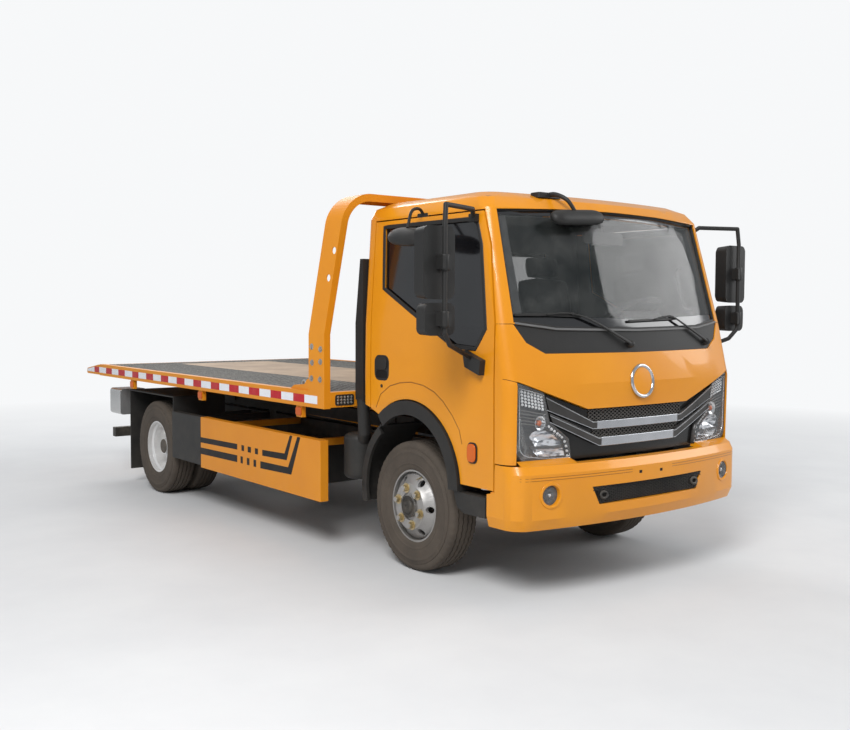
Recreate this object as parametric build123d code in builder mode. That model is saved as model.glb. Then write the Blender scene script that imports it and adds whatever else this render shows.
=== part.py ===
from build123d import *
import math
import os

# Light flatbed tow truck, in millimetres.
# +Z is up, the truck faces -Y and its right-hand side is -X.
# The origin is on the ground, under the middle of the truck.

os.makedirs("parts", exist_ok=True)

# Overall layout
WHEELBASE = 3360.0
FRONT_OVERHANG = 1090.0
REAR_OVERHANG = 1450.0
LENGTH = FRONT_OVERHANG + WHEELBASE + REAR_OVERHANG
F = FRONT_OVERHANG - LENGTH / 2  # station of the front axle; cab places count from it
R = F + WHEELBASE  # station of the rear axle
SIDES = (("right", -1), ("left", 1))

# Wheels
TYRE_R = 388.0
TYRE_WIDTH = 200.0
TYRE_BEAD_R = 214.0
RIM_BEAD_R = 213.7
RIM_FLANGE_R = 226.0
RIM_WIDTH = 150.0
RIM_BORE_R = 82.0
RIM_WALL = 8.0
DISC_OFFSET = 115.0
DISC_THICKNESS = 10.0
STUD_CIRCLE_R = 111.0
STUD_R = 9.0
STUD_COUNT = 6
HAND_HOLE_R = 20.0
HAND_HOLE_CIRCLE_R = 166.0
TRACK_FRONT = 1560.0
TWIN_INNER_X = 745.0
TWIN_OUTER_X = TWIN_INNER_X + 2 * DISC_OFFSET
HUB_FLANGE_R = 128.0
DRUM_R = 160.0
DRUM_WALL = 16.0

# Front axle and steering
KINGPIN_X = 690.0
KINGPIN_R = 18.0
PIN_CLEARANCE = 0.4
RUN_CLEARANCE = 0.5
SEAT_GAP = 0.3
BOSS_R = 42.0
BOSS_BOTTOM = 338.0
BOSS_TOP = 438.0
EAR_HEIGHT = 28.0
EAR_GAP = 2.0
SPINDLE_R = 32.0
ARM_REACH = 190.0
ARM_INSET = 60.0
TIE_ROD_R = 13.0

# Chassis frame
RAIL_X = 375.0
RAIL_BOTTOM = 500.0
RAIL_TOP = 700.0
RAIL_FLANGE = 65.0
RAIL_PLATE = 8.0
RAIL_FRONT = F - 700.0
RAIL_REAR = F + 4300.0
SPRING_X = 420.0
SPRING_WIDTH = 70.0
SPRING_HALF = 540.0
SPRING_EYE_R = 24.0
SPRING_EYE_Z = 560.0
AXLE_TUBE_R = 55.0

# Tilt frame and deck
PIVOT_Y = F + 4240.0
PIVOT_Z = 790.0
PIVOT_R = 25.0
TILT_X = 335.0
TILT_WIDTH = 90.0
TILT_BOTTOM = 720.0
TILT_TOP = 830.0
TILT_FRONT = F + 640.0
TILT_PLATE = 8.0
PAD_HEIGHT = 9.7
DECK_FRONT = F + 545.0
DECK_REAR = F + 4468.0
DECK_HALF = 1150.0
DECK_TOP = 1035.0
DECK_PLATE = 6.0
DECK_SEAM = F + 1050.0  # joint between the winch's sheet and the loading sheet
BEARER_HEIGHT = 59.0
BEAM_BOTTOM = TILT_TOP + PAD_HEIGHT + SEAT_GAP
BEAM_WIDTH = 80.0
BEAM_FLANGE = 12.0
BEAM_WEB = 10.0
RAIL_C_WIDTH = 50.0
RAIL_C_BOTTOM = 938.0
RAIL_C_TOP = 1041.0
RAIL_C_PLATE = 6.0
TAIL_TIP = F + WHEELBASE + REAR_OVERHANG
TAIL_TIP_HEIGHT = 50.0
TAIL_GAP = 3.0

# Headboard hoop
ARM_DEPTH = 185.0
ARM_FLANGE = 46.0
ARM_PLATE = 6.0
ARM_KNEE = 1400.0
HOOP_TOP = 2262.0
HOOP_LEAN = 190.0
HOOP_INLEAN = 40.0
HOOP_CORNER = 190.0
HOOP_SPLIT = 880.0
ARM_HOLE_R = 22.0
ARM_HOLES = ((F + 520.0, 1749.0), (F + 468.0, 1915.0))

# Lift cylinders
LIFT_X = 200.0
LIFT_BASE_Y = F + 2800.0
LIFT_BASE_Z = 500.0
LIFT_EYE_Y = F + 3450.0
LIFT_EYE_Z = 775.0
LIFT_BARREL_R = 45.0
LIFT_BARREL_LENGTH = 560.0
LIFT_ROD_R = 25.0
LIFT_ROD_INSIDE = 300.0
LIFT_EYE_R = 34.0
LIFT_PIN_R = 16.0
LIFT_TOP_PIN_R = 11.0
LIFT_EYE_PLAY = 13.5

# Cab shell. Each row is a level of the cab: height, half width, y of the front
# at the centre line, y of the front at the sides, corner radius, y of the back.
CAB_LEVELS = (
    (560.0, 936.0, -990.0, -915.0, 80.0, 430.0),
    (1160.0, 940.0, -1001.0, -920.0, 80.0, 430.0),
    (1470.0, 936.0, -962.0, -842.0, 75.0, 430.0),
    (2110.0, 896.0, -782.0, -672.0, 75.0, 430.0),
    (2170.0, 866.0, -728.0, -625.0, 90.0, 418.0),
    (2208.0, 790.0, -630.0, -550.0, 110.0, 350.0),
)
CAB_REAR_CORNER = 40.0
CAB_WALL = 45.0
CAB_ROOF_WALL = 36.0
CAB_BACK = F + 430.0
ROOF_SPLIT = 2095.0
BELT = 1470.0
FACE_BOTTOM = 748.0
PANEL_GAP = 8.0
DOOR_REAR = 340.0
GLASS_INSET = 14.0
GLASS_THICKNESS = 6.0
FLOOR_Z = 745.0
LAMP_DEPTH = 62.0
FLOOR_PLATE = 30.0
RISER_Y = F - 490.0

# Wheel arches
ARCH_Y = F - 52.0
ARCH_Z = 560.0
ARCH_R = 465.0
ARCH_LIP = 82.0
ARCH_LINER = 12.0
ARCH_INNER_X = 600.0
ARCH_FACE_X = 954.0
ARCH_LIP_WIDTH = 26.0
ARCH_END_DEG = 50.0

# Side elevations, as y from the front axle and z
DOOR_OUTLINE = (
    (-796.0, 600.0), (-793.0, 1480.0), (-712.0, 1900.0), (-650.0, 2088.0),
    (DOOR_REAR, 2088.0), (DOOR_REAR, 952.0), (220.0, 905.0),
)
DOOR_WINDOW = (
    (250.0, 2052.0), (225.0, 1685.0), (-120.0, 1520.0), (-450.0, 1362.0),
    (-640.0, 1350.0), (-722.0, 1460.0), (-652.0, 1905.0), (-610.0, 2020.0),
    (-570.0, 2045.0),
)
# Door hinges: a lug tip in the door's front edge, and a pin under its front corner
HINGE_X = 928.0
HINGE_Y = F - 788.0
HINGE_PIN_R = 5.0
HINGE_Z = 1180.0
HINGE_FOOT_Z = 592.0
# Inner bound of the doors in front view: how far in from the cab's side they reach
DOOR_REACH = 57.0

# Front elevations, as x and z, for the left half of the symmetric outlines
SCREEN_HALF = ((0.0, 1448.0), (600.0, 1458.0), (856.0, 1492.0), (834.0, 2100.0), (400.0, 2117.0),
               (0.0, 2122.0))
SCREEN_SEAT_HALF = ((0.0, 1470.0), (780.0, 1490.0), (768.0, 2062.0), (0.0, 2078.0))
FACE_ZONE_HALF = ((0.0, 748.0), (1000.0, 748.0), (1000.0, 1484.0), (862.0, 1484.0), (700.0, 1440.0),
                  (0.0, 1436.0))
FRAME_ZONE_HALF = ((0.0, 1436.0), (700.0, 1440.0), (862.0, 1484.0), (1000.0, 1484.0), (1000.0, 2095.0),
                   (0.0, 2095.0))
COWL_HALF = ((0.0, 1322.0), (690.0, 1326.0), (800.0, 1385.0), (862.0, 1484.0), (600.0, 1451.0),
             (0.0, 1441.0))
FACE_EDGE_HALF = ((0.0, 1022.0), (420.0, 1022.0), (718.0, 1125.0), (889.0, 1186.0), (889.0, 640.0),
                  (0.0, 640.0))
LAMP_OUTLINE = (
    (887.0, 1183.0), (716.0, 1121.0), (676.0, 964.0), (544.0, 868.0),
    (524.0, 760.0), (850.0, 766.0), (887.0, 812.0),
)
GRILLE_HALF = ((0.0, 1018.0), (419.0, 1018.0), (712.0, 1118.0), (672.0, 966.0), (540.0, 870.0),
               (520.0, 750.0), (0.0, 750.0))
# Chrome bars: height of the lower edge at the middle, half width of the flat
# middle, height of the bar there, rise of the arms and x of their ends
CHROME_BARS = (
    (905.0, 372.0, 46.0, 118.0, 706.0, 78.0),
    (810.0, 325.0, 50.0, 146.0, 680.0, 56.0),
)

# Bumper levels: height, half width, front at the centre, front at the sides, corner radius
BUMPER_LEVELS = (
    (402.0, 925.0, -1062.0, -955.0, 110.0),
    (462.0, 941.0, -1090.0, -975.0, 120.0),
    (700.0, 941.0, -1090.0, -975.0, 120.0),
    (742.0, 938.0, -1066.0, -952.0, 115.0),
)
BUMPER_WALL = 26.0
BUMPER_TOP = 742.0
BUMPER_SLOT = ((-462.0, 612.0), (462.0, 612.0), (412.0, 512.0), (-412.0, 512.0))
FOG_X = 730.0
FOG_Z = 587.0
FOG_R = 52.0


def at_front(points):
    """Side outline with its y counted from the front axle."""
    return [(F + y, z) for y, z in points]


def both_halves(points):
    """Close a left half outline, from the centre line out, with its mirror image."""
    return list(points) + [(-x, z) for x, z in reversed(points) if x > 0]


def side_slab(points, x_low, x_high, grow=0.0):
    """Prism of a side outline, from x_low to x_high, let out by grow."""
    with BuildPart() as slab:
        with BuildSketch(Plane.YZ.offset(x_low)):
            with BuildLine():
                Polyline(*points, close=True)
            make_face()
            if grow:
                offset(amount=grow, kind=Kind.INTERSECTION)
        extrude(amount=x_high - x_low)
    return slab.part


def front_slab(points, y_low, y_high, grow=0.0):
    """Prism of a front outline, from y_low to y_high, let out by grow."""
    with BuildPart() as slab:
        with BuildSketch(Plane((0, y_high, 0), x_dir=(1, 0, 0), z_dir=(0, -1, 0))):
            with BuildLine():
                Polyline(*points, close=True)
            make_face()
            if grow:
                offset(amount=grow, kind=Kind.INTERSECTION)
        extrude(amount=y_high - y_low)
    return slab.part


def block(x, y, z):
    """Box between the low and high values of each axis."""
    with BuildPart() as box:
        with Locations(((x[0] + x[1]) / 2, (y[0] + y[1]) / 2, (z[0] + z[1]) / 2)):
            Box(x[1] - x[0], y[1] - y[0], z[1] - z[0])
    return box.part


def rod(start, end, radius):
    """Round bar between two points."""
    axis = Vector(*end) - Vector(*start)
    with BuildPart() as bar:
        with BuildSketch(Plane(start, z_dir=axis)):
            Circle(radius)
        extrude(amount=axis.length)
    return bar.part


def sided(solid, side):
    """The left piece itself, or its mirror image for the right side."""
    return solid if side > 0 else mirror(solid, about=Plane.YZ)


def ring_loft(levels, inset, top_drop, foot_drop):
    """Solid through rounded plan outlines, drawn in by inset all round."""
    with BuildPart() as body:
        for index, (z, half, middle, side, corner, back, back_corner) in enumerate(levels):
            drop = foot_drop if index == 0 else 0
            drop += top_drop if z > BELT or index == len(levels) - 1 else 0
            width = half - inset
            y_side = F + side + inset
            y_back = F + back - inset
            with BuildSketch(Plane.XY.offset(z - drop)):
                with BuildLine():
                    ThreePointArc((-width, y_side), (0, F + middle + inset), (width, y_side))
                    Polyline((width, y_side), (width, y_back), (-width, y_back), (-width, y_side))
                make_face()
                fillet(vertices().group_by(Axis.Y)[-1], max(back_corner - inset / 2, 4))
                fillet(vertices().group_by(Axis.Y)[0], max(corner - inset / 2, 4))
        loft(ruled=True)
    return body.part


def cab_body(inset, roof_inset, foot=0.0):
    """Solid of the cab's outer form, drawn in by inset all round."""
    return ring_loft([row + (CAB_REAR_CORNER,) for row in CAB_LEVELS], inset, roof_inset, foot)


def arch_disc(radius, x_low, x_high):
    """Disc about the wheel arch's centre."""
    return rod((x_low, ARCH_Y, ARCH_Z), (x_high, ARCH_Y, ARCH_Z), radius)


cab_outer = cab_body(0, 0)
cab_inner = cab_body(CAB_WALL, CAB_ROOF_WALL, 20)
cab_lining = cab_body(CAB_WALL + SEAT_GAP, CAB_ROOF_WALL + SEAT_GAP, 20)
with BuildPart() as cab_shell:
    add(cab_outer)
    add(cab_inner, mode=Mode.SUBTRACT)
shell = cab_shell.part
reach_outline = [(half - DOOR_REACH, z) for z, half, *_ in CAB_LEVELS[:4]] + [(1010.0, 2110.0),
                                                                              (1010.0, 560.0)]
door_side = side_slab(at_front(DOOR_OUTLINE + ((-520.0, 600.0),)), 0, 1000)
with BuildPart() as door_zone:
    add(door_side)
    add(front_slab(reach_outline, F - 1000, F + 500), mode=Mode.INTERSECT)
door_hole = ((-798.0, 500.0), (-795.0, 1480.0)) + DOOR_OUTLINE[2:5] + ((DOOR_REAR, 500.0),)
with BuildPart() as door_gap_left:
    add(side_slab(at_front(door_hole), 0, 1020, PANEL_GAP))
    add(front_slab(reach_outline, F - 1020, F + 500, PANEL_GAP), mode=Mode.INTERSECT)
with BuildPart() as door_gaps:
    add(door_gap_left.part)
    mirror(about=Plane.YZ)
door_gap = door_gaps.part
screen_through = front_slab(both_halves(SCREEN_SEAT_HALF), F - 1100, F - 400)
screen_rim = front_slab(both_halves(SCREEN_HALF), F - 1100, F - 400)
with BuildPart() as screen_cut:
    add(cab_outer)
    add(cab_body(GLASS_INSET + GLASS_THICKNESS + SEAT_GAP, GLASS_INSET + GLASS_THICKNESS + SEAT_GAP, 20),
        mode=Mode.SUBTRACT)
    add(screen_rim, mode=Mode.INTERSECT)
    add(screen_through)
screen_hole = screen_cut.part
cowl_hole = front_slab(both_halves(COWL_HALF), F - 1100, F - 700)
face_hole = front_slab(both_halves(FACE_EDGE_HALF), F - 1100, F - 800)

# Cab shell pieces
with BuildPart() as cab_roof:
    add(shell)
    add(block((-1000, 1000), (F - 1100, F + 500), (ROOF_SPLIT, 2400)), mode=Mode.INTERSECT)
    add(screen_hole, mode=Mode.SUBTRACT)
    add(door_gap, mode=Mode.SUBTRACT)
cab_roof.part.label = "cab_roof"
export_step(cab_roof.part, "parts/cab_roof.step")

REAR_WINDOW = ((-600.0, 1490.0), (600.0, 1490.0), (600.0, 1950.0), (-600.0, 1950.0))
rear_window_hole = front_slab(REAR_WINDOW, F + 300, F + 500)
back_outline = ((DOOR_REAR + PANEL_GAP, 955.0), (450.0, 984.0), (450.0, ROOF_SPLIT),
                (DOOR_REAR + PANEL_GAP, ROOF_SPLIT))
with BuildPart() as cab_back:
    add(shell)
    add(side_slab(at_front(back_outline), -1000, 1000), mode=Mode.INTERSECT)
    add(rear_window_hole, mode=Mode.SUBTRACT)
cab_back.part.label = "cab_back"
export_step(cab_back.part, "parts/cab_back.step")

with BuildPart() as cab_front:
    add(shell)
    add(front_slab(both_halves(FACE_ZONE_HALF), F - 1100, F - 700), mode=Mode.INTERSECT)
    add(door_gap, mode=Mode.SUBTRACT)
    add(screen_hole, mode=Mode.SUBTRACT)
    add(cowl_hole, mode=Mode.SUBTRACT)
    add(face_hole, mode=Mode.SUBTRACT)
    for side in (-1, 1):
        neck = ((side * 892, F - 815), (side * 899, F - 815), (side * (HINGE_X + 5), HINGE_Y - 1),
                (side * (HINGE_X - 3), HINGE_Y + 5), (side * 892, F - 800))
        with BuildSketch(Plane.XY.offset(HINGE_Z - 7)):
            with BuildLine():
                Polyline(*neck, close=True)
            make_face()
            with Locations((side * HINGE_X, HINGE_Y)):
                Circle(6)
        extrude(amount=14)
        with BuildSketch(Plane.XY.offset(HINGE_Z - 30)):
            with Locations((side * HINGE_X, HINGE_Y)):
                Circle(HINGE_PIN_R)
        extrude(amount=60)
cab_front.part.label = "cab_front"
export_step(cab_front.part, "parts/cab_front.step")

with BuildPart() as a_pillars:
    add(shell)
    add(front_slab(both_halves(FRAME_ZONE_HALF), F - 1100, F - 300), mode=Mode.INTERSECT)
    add(door_gap, mode=Mode.SUBTRACT)
    add(screen_hole, mode=Mode.SUBTRACT)
    add(cowl_hole, mode=Mode.SUBTRACT)
a_pillars.part.label = "a_pillars"
export_step(a_pillars.part, "parts/a_pillars.step")

glass_outer = cab_body(GLASS_INSET, GLASS_INSET)
glass_inner = cab_body(GLASS_INSET + GLASS_THICKNESS, GLASS_INSET + GLASS_THICKNESS, 20)
with BuildPart() as glass_skin:
    add(glass_outer)
    add(glass_inner, mode=Mode.SUBTRACT)

with BuildPart() as cab_glass:
    add(glass_skin.part)
    add(front_slab(both_halves(SCREEN_HALF), F - 1100, F - 400, -3.0), mode=Mode.INTERSECT)
    add(cowl_hole, mode=Mode.SUBTRACT)
    add(front_slab(REAR_WINDOW, CAB_BACK - 26, CAB_BACK - 20, -SEAT_GAP))
cab_glass.part.label = "cab_glass"
export_step(cab_glass.part, "parts/cab_glass.step")

cowl_outer = cab_body(6, 0)
cowl_inner = cab_body(30, 0, 20)
with BuildPart() as cowl_skin:
    add(cowl_outer)
    add(cowl_inner, mode=Mode.SUBTRACT)
with BuildPart() as cowl_panel:
    add(cowl_skin.part)
    add(cowl_hole, mode=Mode.INTERSECT)
cowl_panel.part.label = "cowl_panel"
export_step(cowl_panel.part, "parts/cowl_panel.step")

grille_back = cab_body(LAMP_DEPTH + SEAT_GAP, 0, 20)

# Floor: foot well, riser in front of the wheels, seat platform, engine tunnel
PLATFORM_BOTTOM = ARCH_Z + ARCH_R + SEAT_GAP
PLATFORM_TOP = PLATFORM_BOTTOM + FLOOR_PLATE
floor_outline = (
    (F - 990, FLOOR_Z), (RISER_Y, FLOOR_Z), (RISER_Y, PLATFORM_BOTTOM), (F + 470, PLATFORM_BOTTOM),
    (F + 470, PLATFORM_TOP), (RISER_Y - FLOOR_PLATE, PLATFORM_TOP), (RISER_Y - FLOOR_PLATE,
                                                                     FLOOR_Z + FLOOR_PLATE),
    (F - 990, FLOOR_Z + FLOOR_PLATE),
)
TUNNEL_HALF = 290.0
TUNNEL_FRONT = F - 800.0
with BuildPart() as cab_floor:
    add(side_slab(floor_outline, -870, 870))
    add(block((-TUNNEL_HALF, TUNNEL_HALF), (TUNNEL_FRONT, RISER_Y - FLOOR_PLATE), (FLOOR_Z, PLATFORM_TOP)))
    add(block((-TUNNEL_HALF + 30, TUNNEL_HALF - 30), (TUNNEL_FRONT + 30, RISER_Y),
              (FLOOR_Z - 10, PLATFORM_BOTTOM)),
        mode=Mode.SUBTRACT)
    for side in (-1, 1):
        x = side * (RAIL_X - 35)
        add(block((x - 25, x + 25), (F - 690, F - 610), (RAIL_TOP + SEAT_GAP, FLOOR_Z + 5)))
        add(block((x - 25, x + 25), (F + 370, F + 430), (RAIL_TOP + SEAT_GAP, PLATFORM_BOTTOM + 5)))
    add(grille_back, mode=Mode.INTERSECT)
cab_floor.part.label = "cab_floor"
export_step(cab_floor.part, "parts/cab_floor.step")

# Dashboard with a raised binnacle in front of the driver
DASH_HALF = 870.0
WHEEL_X = 430.0
WHEEL_Y = F - 530.0
WHEEL_Z = 1500.0
COLUMN_R = 26.0
column_end = (WHEEL_X, WHEEL_Y - 129, WHEEL_Z - 196)
dash_outline = ((F - 960, 1400.0), (F - 960, 1215.0), (F - 820, 1195.0), (F - 690, 1122.0),
                (F - 590, 1300.0),
                (F - 620, 1410.0), (F - 760, 1440.0))
with BuildPart() as dashboard:
    add(side_slab(dash_outline, -DASH_HALF, DASH_HALF))
    add(side_slab(((F - 860, 1420), (F - 640, 1405), (F - 615, 1470), (F - 700, 1520), (F - 800, 1500)),
                  200, 660))
    add(cab_lining, mode=Mode.INTERSECT)
    add(block((-1000, 1000), (F - 1100, F - 690), (BELT - 22, 1600)), mode=Mode.SUBTRACT)
    add(rod((WHEEL_X, WHEEL_Y, WHEEL_Z), column_end, COLUMN_R + SEAT_GAP), mode=Mode.SUBTRACT)
dashboard.part.label = "dashboard"
export_step(dashboard.part, "parts/dashboard.step")

# Steering wheel on its column
wheel_axis = Vector(0, 0.55, 0.835)
with BuildPart() as steering_wheel:
    with BuildSketch(Plane(origin=(WHEEL_X, WHEEL_Y, WHEEL_Z), x_dir=(1, 0, 0), z_dir=wheel_axis)):
        Circle(222)
        Circle(192, mode=Mode.SUBTRACT)
    extrude(amount=26)
    with BuildSketch(Plane(origin=(WHEEL_X, WHEEL_Y, WHEEL_Z), x_dir=(1, 0, 0), z_dir=wheel_axis)):
        Circle(70)
        Rectangle(400, 40)
    extrude(amount=18)
    add(rod((WHEEL_X, WHEEL_Y, WHEEL_Z), column_end, COLUMN_R))
steering_wheel.part.label = "steering_wheel"
export_step(steering_wheel.part, "parts/steering_wheel.step")

# Seats: x of the middle and width of each
SEAT_TABLE = ((-430.0, 520.0), (430.0, 480.0))
seat_outline = (
    (F - 330, PLATFORM_TOP + SEAT_GAP), (F - 330, 1270.0), (F - 300, 1300.0), (F + 110, 1275.0),
    (F + 215, 1860.0), (F + 250, 1920.0), (F + 300, 1920.0), (F + 310, 1840.0), (F + 240, 1240.0),
    (F + 240, PLATFORM_TOP + SEAT_GAP),
)
with BuildPart() as seats:
    for middle, width in SEAT_TABLE:
        add(side_slab(seat_outline, middle - width / 2, middle + width / 2))
seats.part.label = "seats"
export_step(seats.part, "parts/seats.step")

# Doors with their window cut, and the arch cut out of their lower edge
window_cut = side_slab(at_front(DOOR_WINDOW), 500, 1000)
with BuildPart() as door_left_form:
    add(shell)
    add(door_zone.part, mode=Mode.INTERSECT)
    add(arch_disc(ARCH_R + PANEL_GAP, 500, 1000), mode=Mode.SUBTRACT)
    add(window_cut, mode=Mode.SUBTRACT)
    add(block((880, HINGE_X + 8), (HINGE_Y - 20, HINGE_Y + 14), (HINGE_Z - 15, HINGE_Z + 15)),
        mode=Mode.SUBTRACT)
    for low, high in ((HINGE_Z - 32, HINGE_Z + 32), (590, HINGE_FOOT_Z + 32)):
        add(rod((HINGE_X, HINGE_Y, low), (HINGE_X, HINGE_Y, high), HINGE_PIN_R + PIN_CLEARANCE),
            mode=Mode.SUBTRACT)
with BuildPart() as door_glass_form:
    add(glass_skin.part)
    add(side_slab(at_front(DOOR_WINDOW), 800, 1000, -SEAT_GAP), mode=Mode.INTERSECT)
for side_name, side in SIDES:
    with BuildPart() as door:
        add(sided(door_left_form.part, side))
    door.part.label = f"door_{side_name}"
    export_step(door.part, f"parts/door_{side_name}.step")
    with BuildPart() as door_glass:
        add(sided(door_glass_form.part, side))
    door_glass.part.label = f"door_glass_{side_name}"
    export_step(door_glass.part, f"parts/door_glass_{side_name}.step")

# Door mirrors: a bent tube from the door's upper front corner, down and back to its belt
MIRROR_X = 1235.0
MIRROR_Y = F - 750.0
MIRROR_TUBE_R = 13.0
mirror_route = ((922.0, F - 600, 2055.0), (960.0, F - 640, 2092.0), (MIRROR_X - 10, MIRROR_Y + 6, 2092.0),
                (MIRROR_X, MIRROR_Y, 1990.0), (MIRROR_X, MIRROR_Y, 1440.0), (1180.0, MIRROR_Y + 25, 1375.0),
                (965.0, F - 640, 1300.0))
# Heads: name, width, low z, high z, depth, x shift
MIRROR_HEADS = ((205.0, 1610.0, 1985.0, 85.0, 12.0), (195.0, 1424.0, 1592.0, 80.0, 6.0))
with BuildPart() as mirror_form:
    for start, end in zip(mirror_route[:-1], mirror_route[1:]):
        add(rod(start, end, MIRROR_TUBE_R))
        with Locations(end):
            Sphere(MIRROR_TUBE_R)
    add(block((901.6, 934), (F - 625, F - 575), (2030, 2072)))
    add(side_slab(((F - 730, 1290), (F - 580, 1340), (F - 600, 1250), (F - 720, 1210)), 939.8, 978))
    for width, low, high, depth, shift in MIRROR_HEADS:
        head_x = MIRROR_X + shift
        with BuildSketch(Plane((head_x, MIRROR_Y + 30, (low + high) / 2), x_dir=(1, 0, 0),
                               z_dir=(0, 1, 0))):
            RectangleRounded(width, high - low, 40)
        with BuildSketch(Plane((head_x, MIRROR_Y + 30 + depth, (low + high) / 2), x_dir=(1, 0, 0),
                               z_dir=(0, 1, 0))):
            RectangleRounded(width * 0.94, (high - low) * 0.96, 34)
        loft(ruled=True)
        add(block((MIRROR_X - 30, MIRROR_X + 30), (MIRROR_Y - 22, MIRROR_Y + 34),
                  ((low + high) / 2 - 35, (low + high) / 2 + 35)))
for side_name, side in SIDES:
    with BuildPart() as mirror_set:
        add(sided(mirror_form.part, side))
    mirror_set.part.label = f"mirror_{side_name}"
    export_step(mirror_set.part, f"parts/mirror_{side_name}.step")

# Grille, chrome bars, lamps
grille_outer = cab_body(30, 0)
grille_inner = cab_body(LAMP_DEPTH, 0, 20)
with BuildPart() as grille_panel:
    add(grille_outer)
    add(grille_inner, mode=Mode.SUBTRACT)
    add(front_slab(both_halves(GRILLE_HALF), F - 1100, F - 800), mode=Mode.INTERSECT)
grille_panel.part.label = "grille_panel"
export_step(grille_panel.part, "parts/grille_panel.step")

bar_outer = cab_body(6, 0)
bar_inner = cab_body(30 - SEAT_GAP, 0, 20)
with BuildPart() as bar_skin:
    add(bar_outer)
    add(bar_inner, mode=Mode.SUBTRACT)


def chrome_bar(low, flat, height, rise, end_x, end_height):
    """One bar of the grille, following the cab's face."""
    bar_half = ((0.0, low), (flat - 18, low), (end_x - 26, low + rise), (end_x, low + rise + end_height),
                (flat, low + height), (0.0, low + height))
    with BuildPart() as bar:
        add(bar_skin.part)
        add(front_slab(both_halves(bar_half), F - 1100, F - 800), mode=Mode.INTERSECT)
    return bar.part


with BuildPart() as grille_bars:
    for row in CHROME_BARS:
        add(chrome_bar(*row))
grille_bars.part.label = "grille_bars"
export_step(grille_bars.part, "parts/grille_bars.step")

lamp_outer = cab_body(8, 0)
lamp_inner = cab_body(LAMP_DEPTH, 0, 20)
with BuildPart() as lamp_skin:
    add(lamp_outer)
    add(lamp_inner, mode=Mode.SUBTRACT)
with BuildPart() as headlamp_form:
    add(lamp_skin.part)
    add(front_slab(LAMP_OUTLINE, F - 1100, F - 780), mode=Mode.INTERSECT)
    add(block((590, 800), (F - 925, F - 905), (BUMPER_TOP + SEAT_GAP, 790)))
_, bumper_half, bumper_middle, bumper_flank, _ = BUMPER_LEVELS[2]
fog_y = F + bumper_middle + (bumper_flank - bumper_middle) * (FOG_X / bumper_half) ** 2
with BuildPart() as front_lamps:
    for side_name, side in SIDES:
        add(sided(headlamp_form.part, side))
        add(rod((side * FOG_X, fog_y + 8, FOG_Z), (side * FOG_X, fog_y + 60, FOG_Z), FOG_R - SEAT_GAP))
front_lamps.part.label = "front_lamps"
export_step(front_lamps.part, "parts/front_lamps.step")

# Bumper: a thin shell with the cab's plan, closed by a ledge on top


def bumper_body(inset, foot, lid):
    """Solid of the bumper's outer form, drawn in by inset."""
    return ring_loft([row + (-600.0 + inset, 20.0) for row in BUMPER_LEVELS], inset, lid, foot)


bumper_side = ((-570.0, 300.0), (-748.0, 300.0), (-748.0, 578.0), (-810.0, 590.0), (-810.0, 800.0),
               (-570.0, 800.0))
face_clear = ring_loft(((FACE_BOTTOM - 60, 936.0, -1004.0, -922.0, 80.0, -500.0, 5.0),
                        (FACE_BOTTOM + 40, 936.0, -1004.0, -922.0, 80.0, -500.0, 5.0)), 0, 0, 0)
with BuildPart() as bumper:
    add(bumper_body(0, 0, 0))
    add(bumper_body(BUMPER_WALL, 20, 12), mode=Mode.SUBTRACT)
    add(side_slab(at_front(bumper_side), -1000, 1000), mode=Mode.SUBTRACT)
    add(face_clear, mode=Mode.SUBTRACT)
    add(front_slab(BUMPER_SLOT, F - 1120, F - 900), mode=Mode.SUBTRACT)
    for side_name, side in SIDES:
        add(rod((side * FOG_X, F - 1100, FOG_Z), (side * FOG_X, F - 900, FOG_Z), FOG_R), mode=Mode.SUBTRACT)
    for side in (-1, 1):
        x = side * (RAIL_X - 34)
        add(block((x - 30, x + 30), (F - 1062, RAIL_FRONT - SEAT_GAP), (628, 690)))
        x = side * HINGE_X
        add(block((x - 10, x + 10), (F - 830, HINGE_Y + 12), (HINGE_FOOT_Z - 24, HINGE_FOOT_Z)))
        add(rod((x, HINGE_Y, HINGE_FOOT_Z - 10), (x, HINGE_Y, HINGE_FOOT_Z + 30), HINGE_PIN_R))
bumper.part.label = "bumper"
export_step(bumper.part, "parts/bumper.step")

# Wheel arches: flare, liner, rear mudguard and the step corner in front of the wheel
MUDGUARD_Y = F - 10.0
MUDGUARD_Z = 470.0
MUDGUARD_R = 470.0
MUDGUARD_LIP = 50.0
STEP_OUTLINE = ((-736.0, 443.0), (-736.0, 553.0), (-467.0, 553.0), (-500.0, 470.0), (-560.0, 443.0))


def arch_band(centre, outer, inner, start, end, x_low, x_high):
    """Part of a ring about an axis along X, between two angles from +Y."""
    middle = math.radians((start + end) / 2)
    y, z = centre

    def point(radius, angle):
        return (y + radius * math.cos(angle), z + radius * math.sin(angle))

    a, b = math.radians(start), math.radians(end)
    with BuildPart() as band:
        with BuildSketch(Plane.YZ.offset(x_low)):
            with BuildLine():
                ThreePointArc(point(outer, a), point(outer, middle), point(outer, b))
                Line(point(outer, b), point(inner, b))
                ThreePointArc(point(inner, b), point(inner, middle), point(inner, a))
                Line(point(inner, a), point(outer, a))
            make_face()
        extrude(amount=x_high - x_low)
    return band.part


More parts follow.
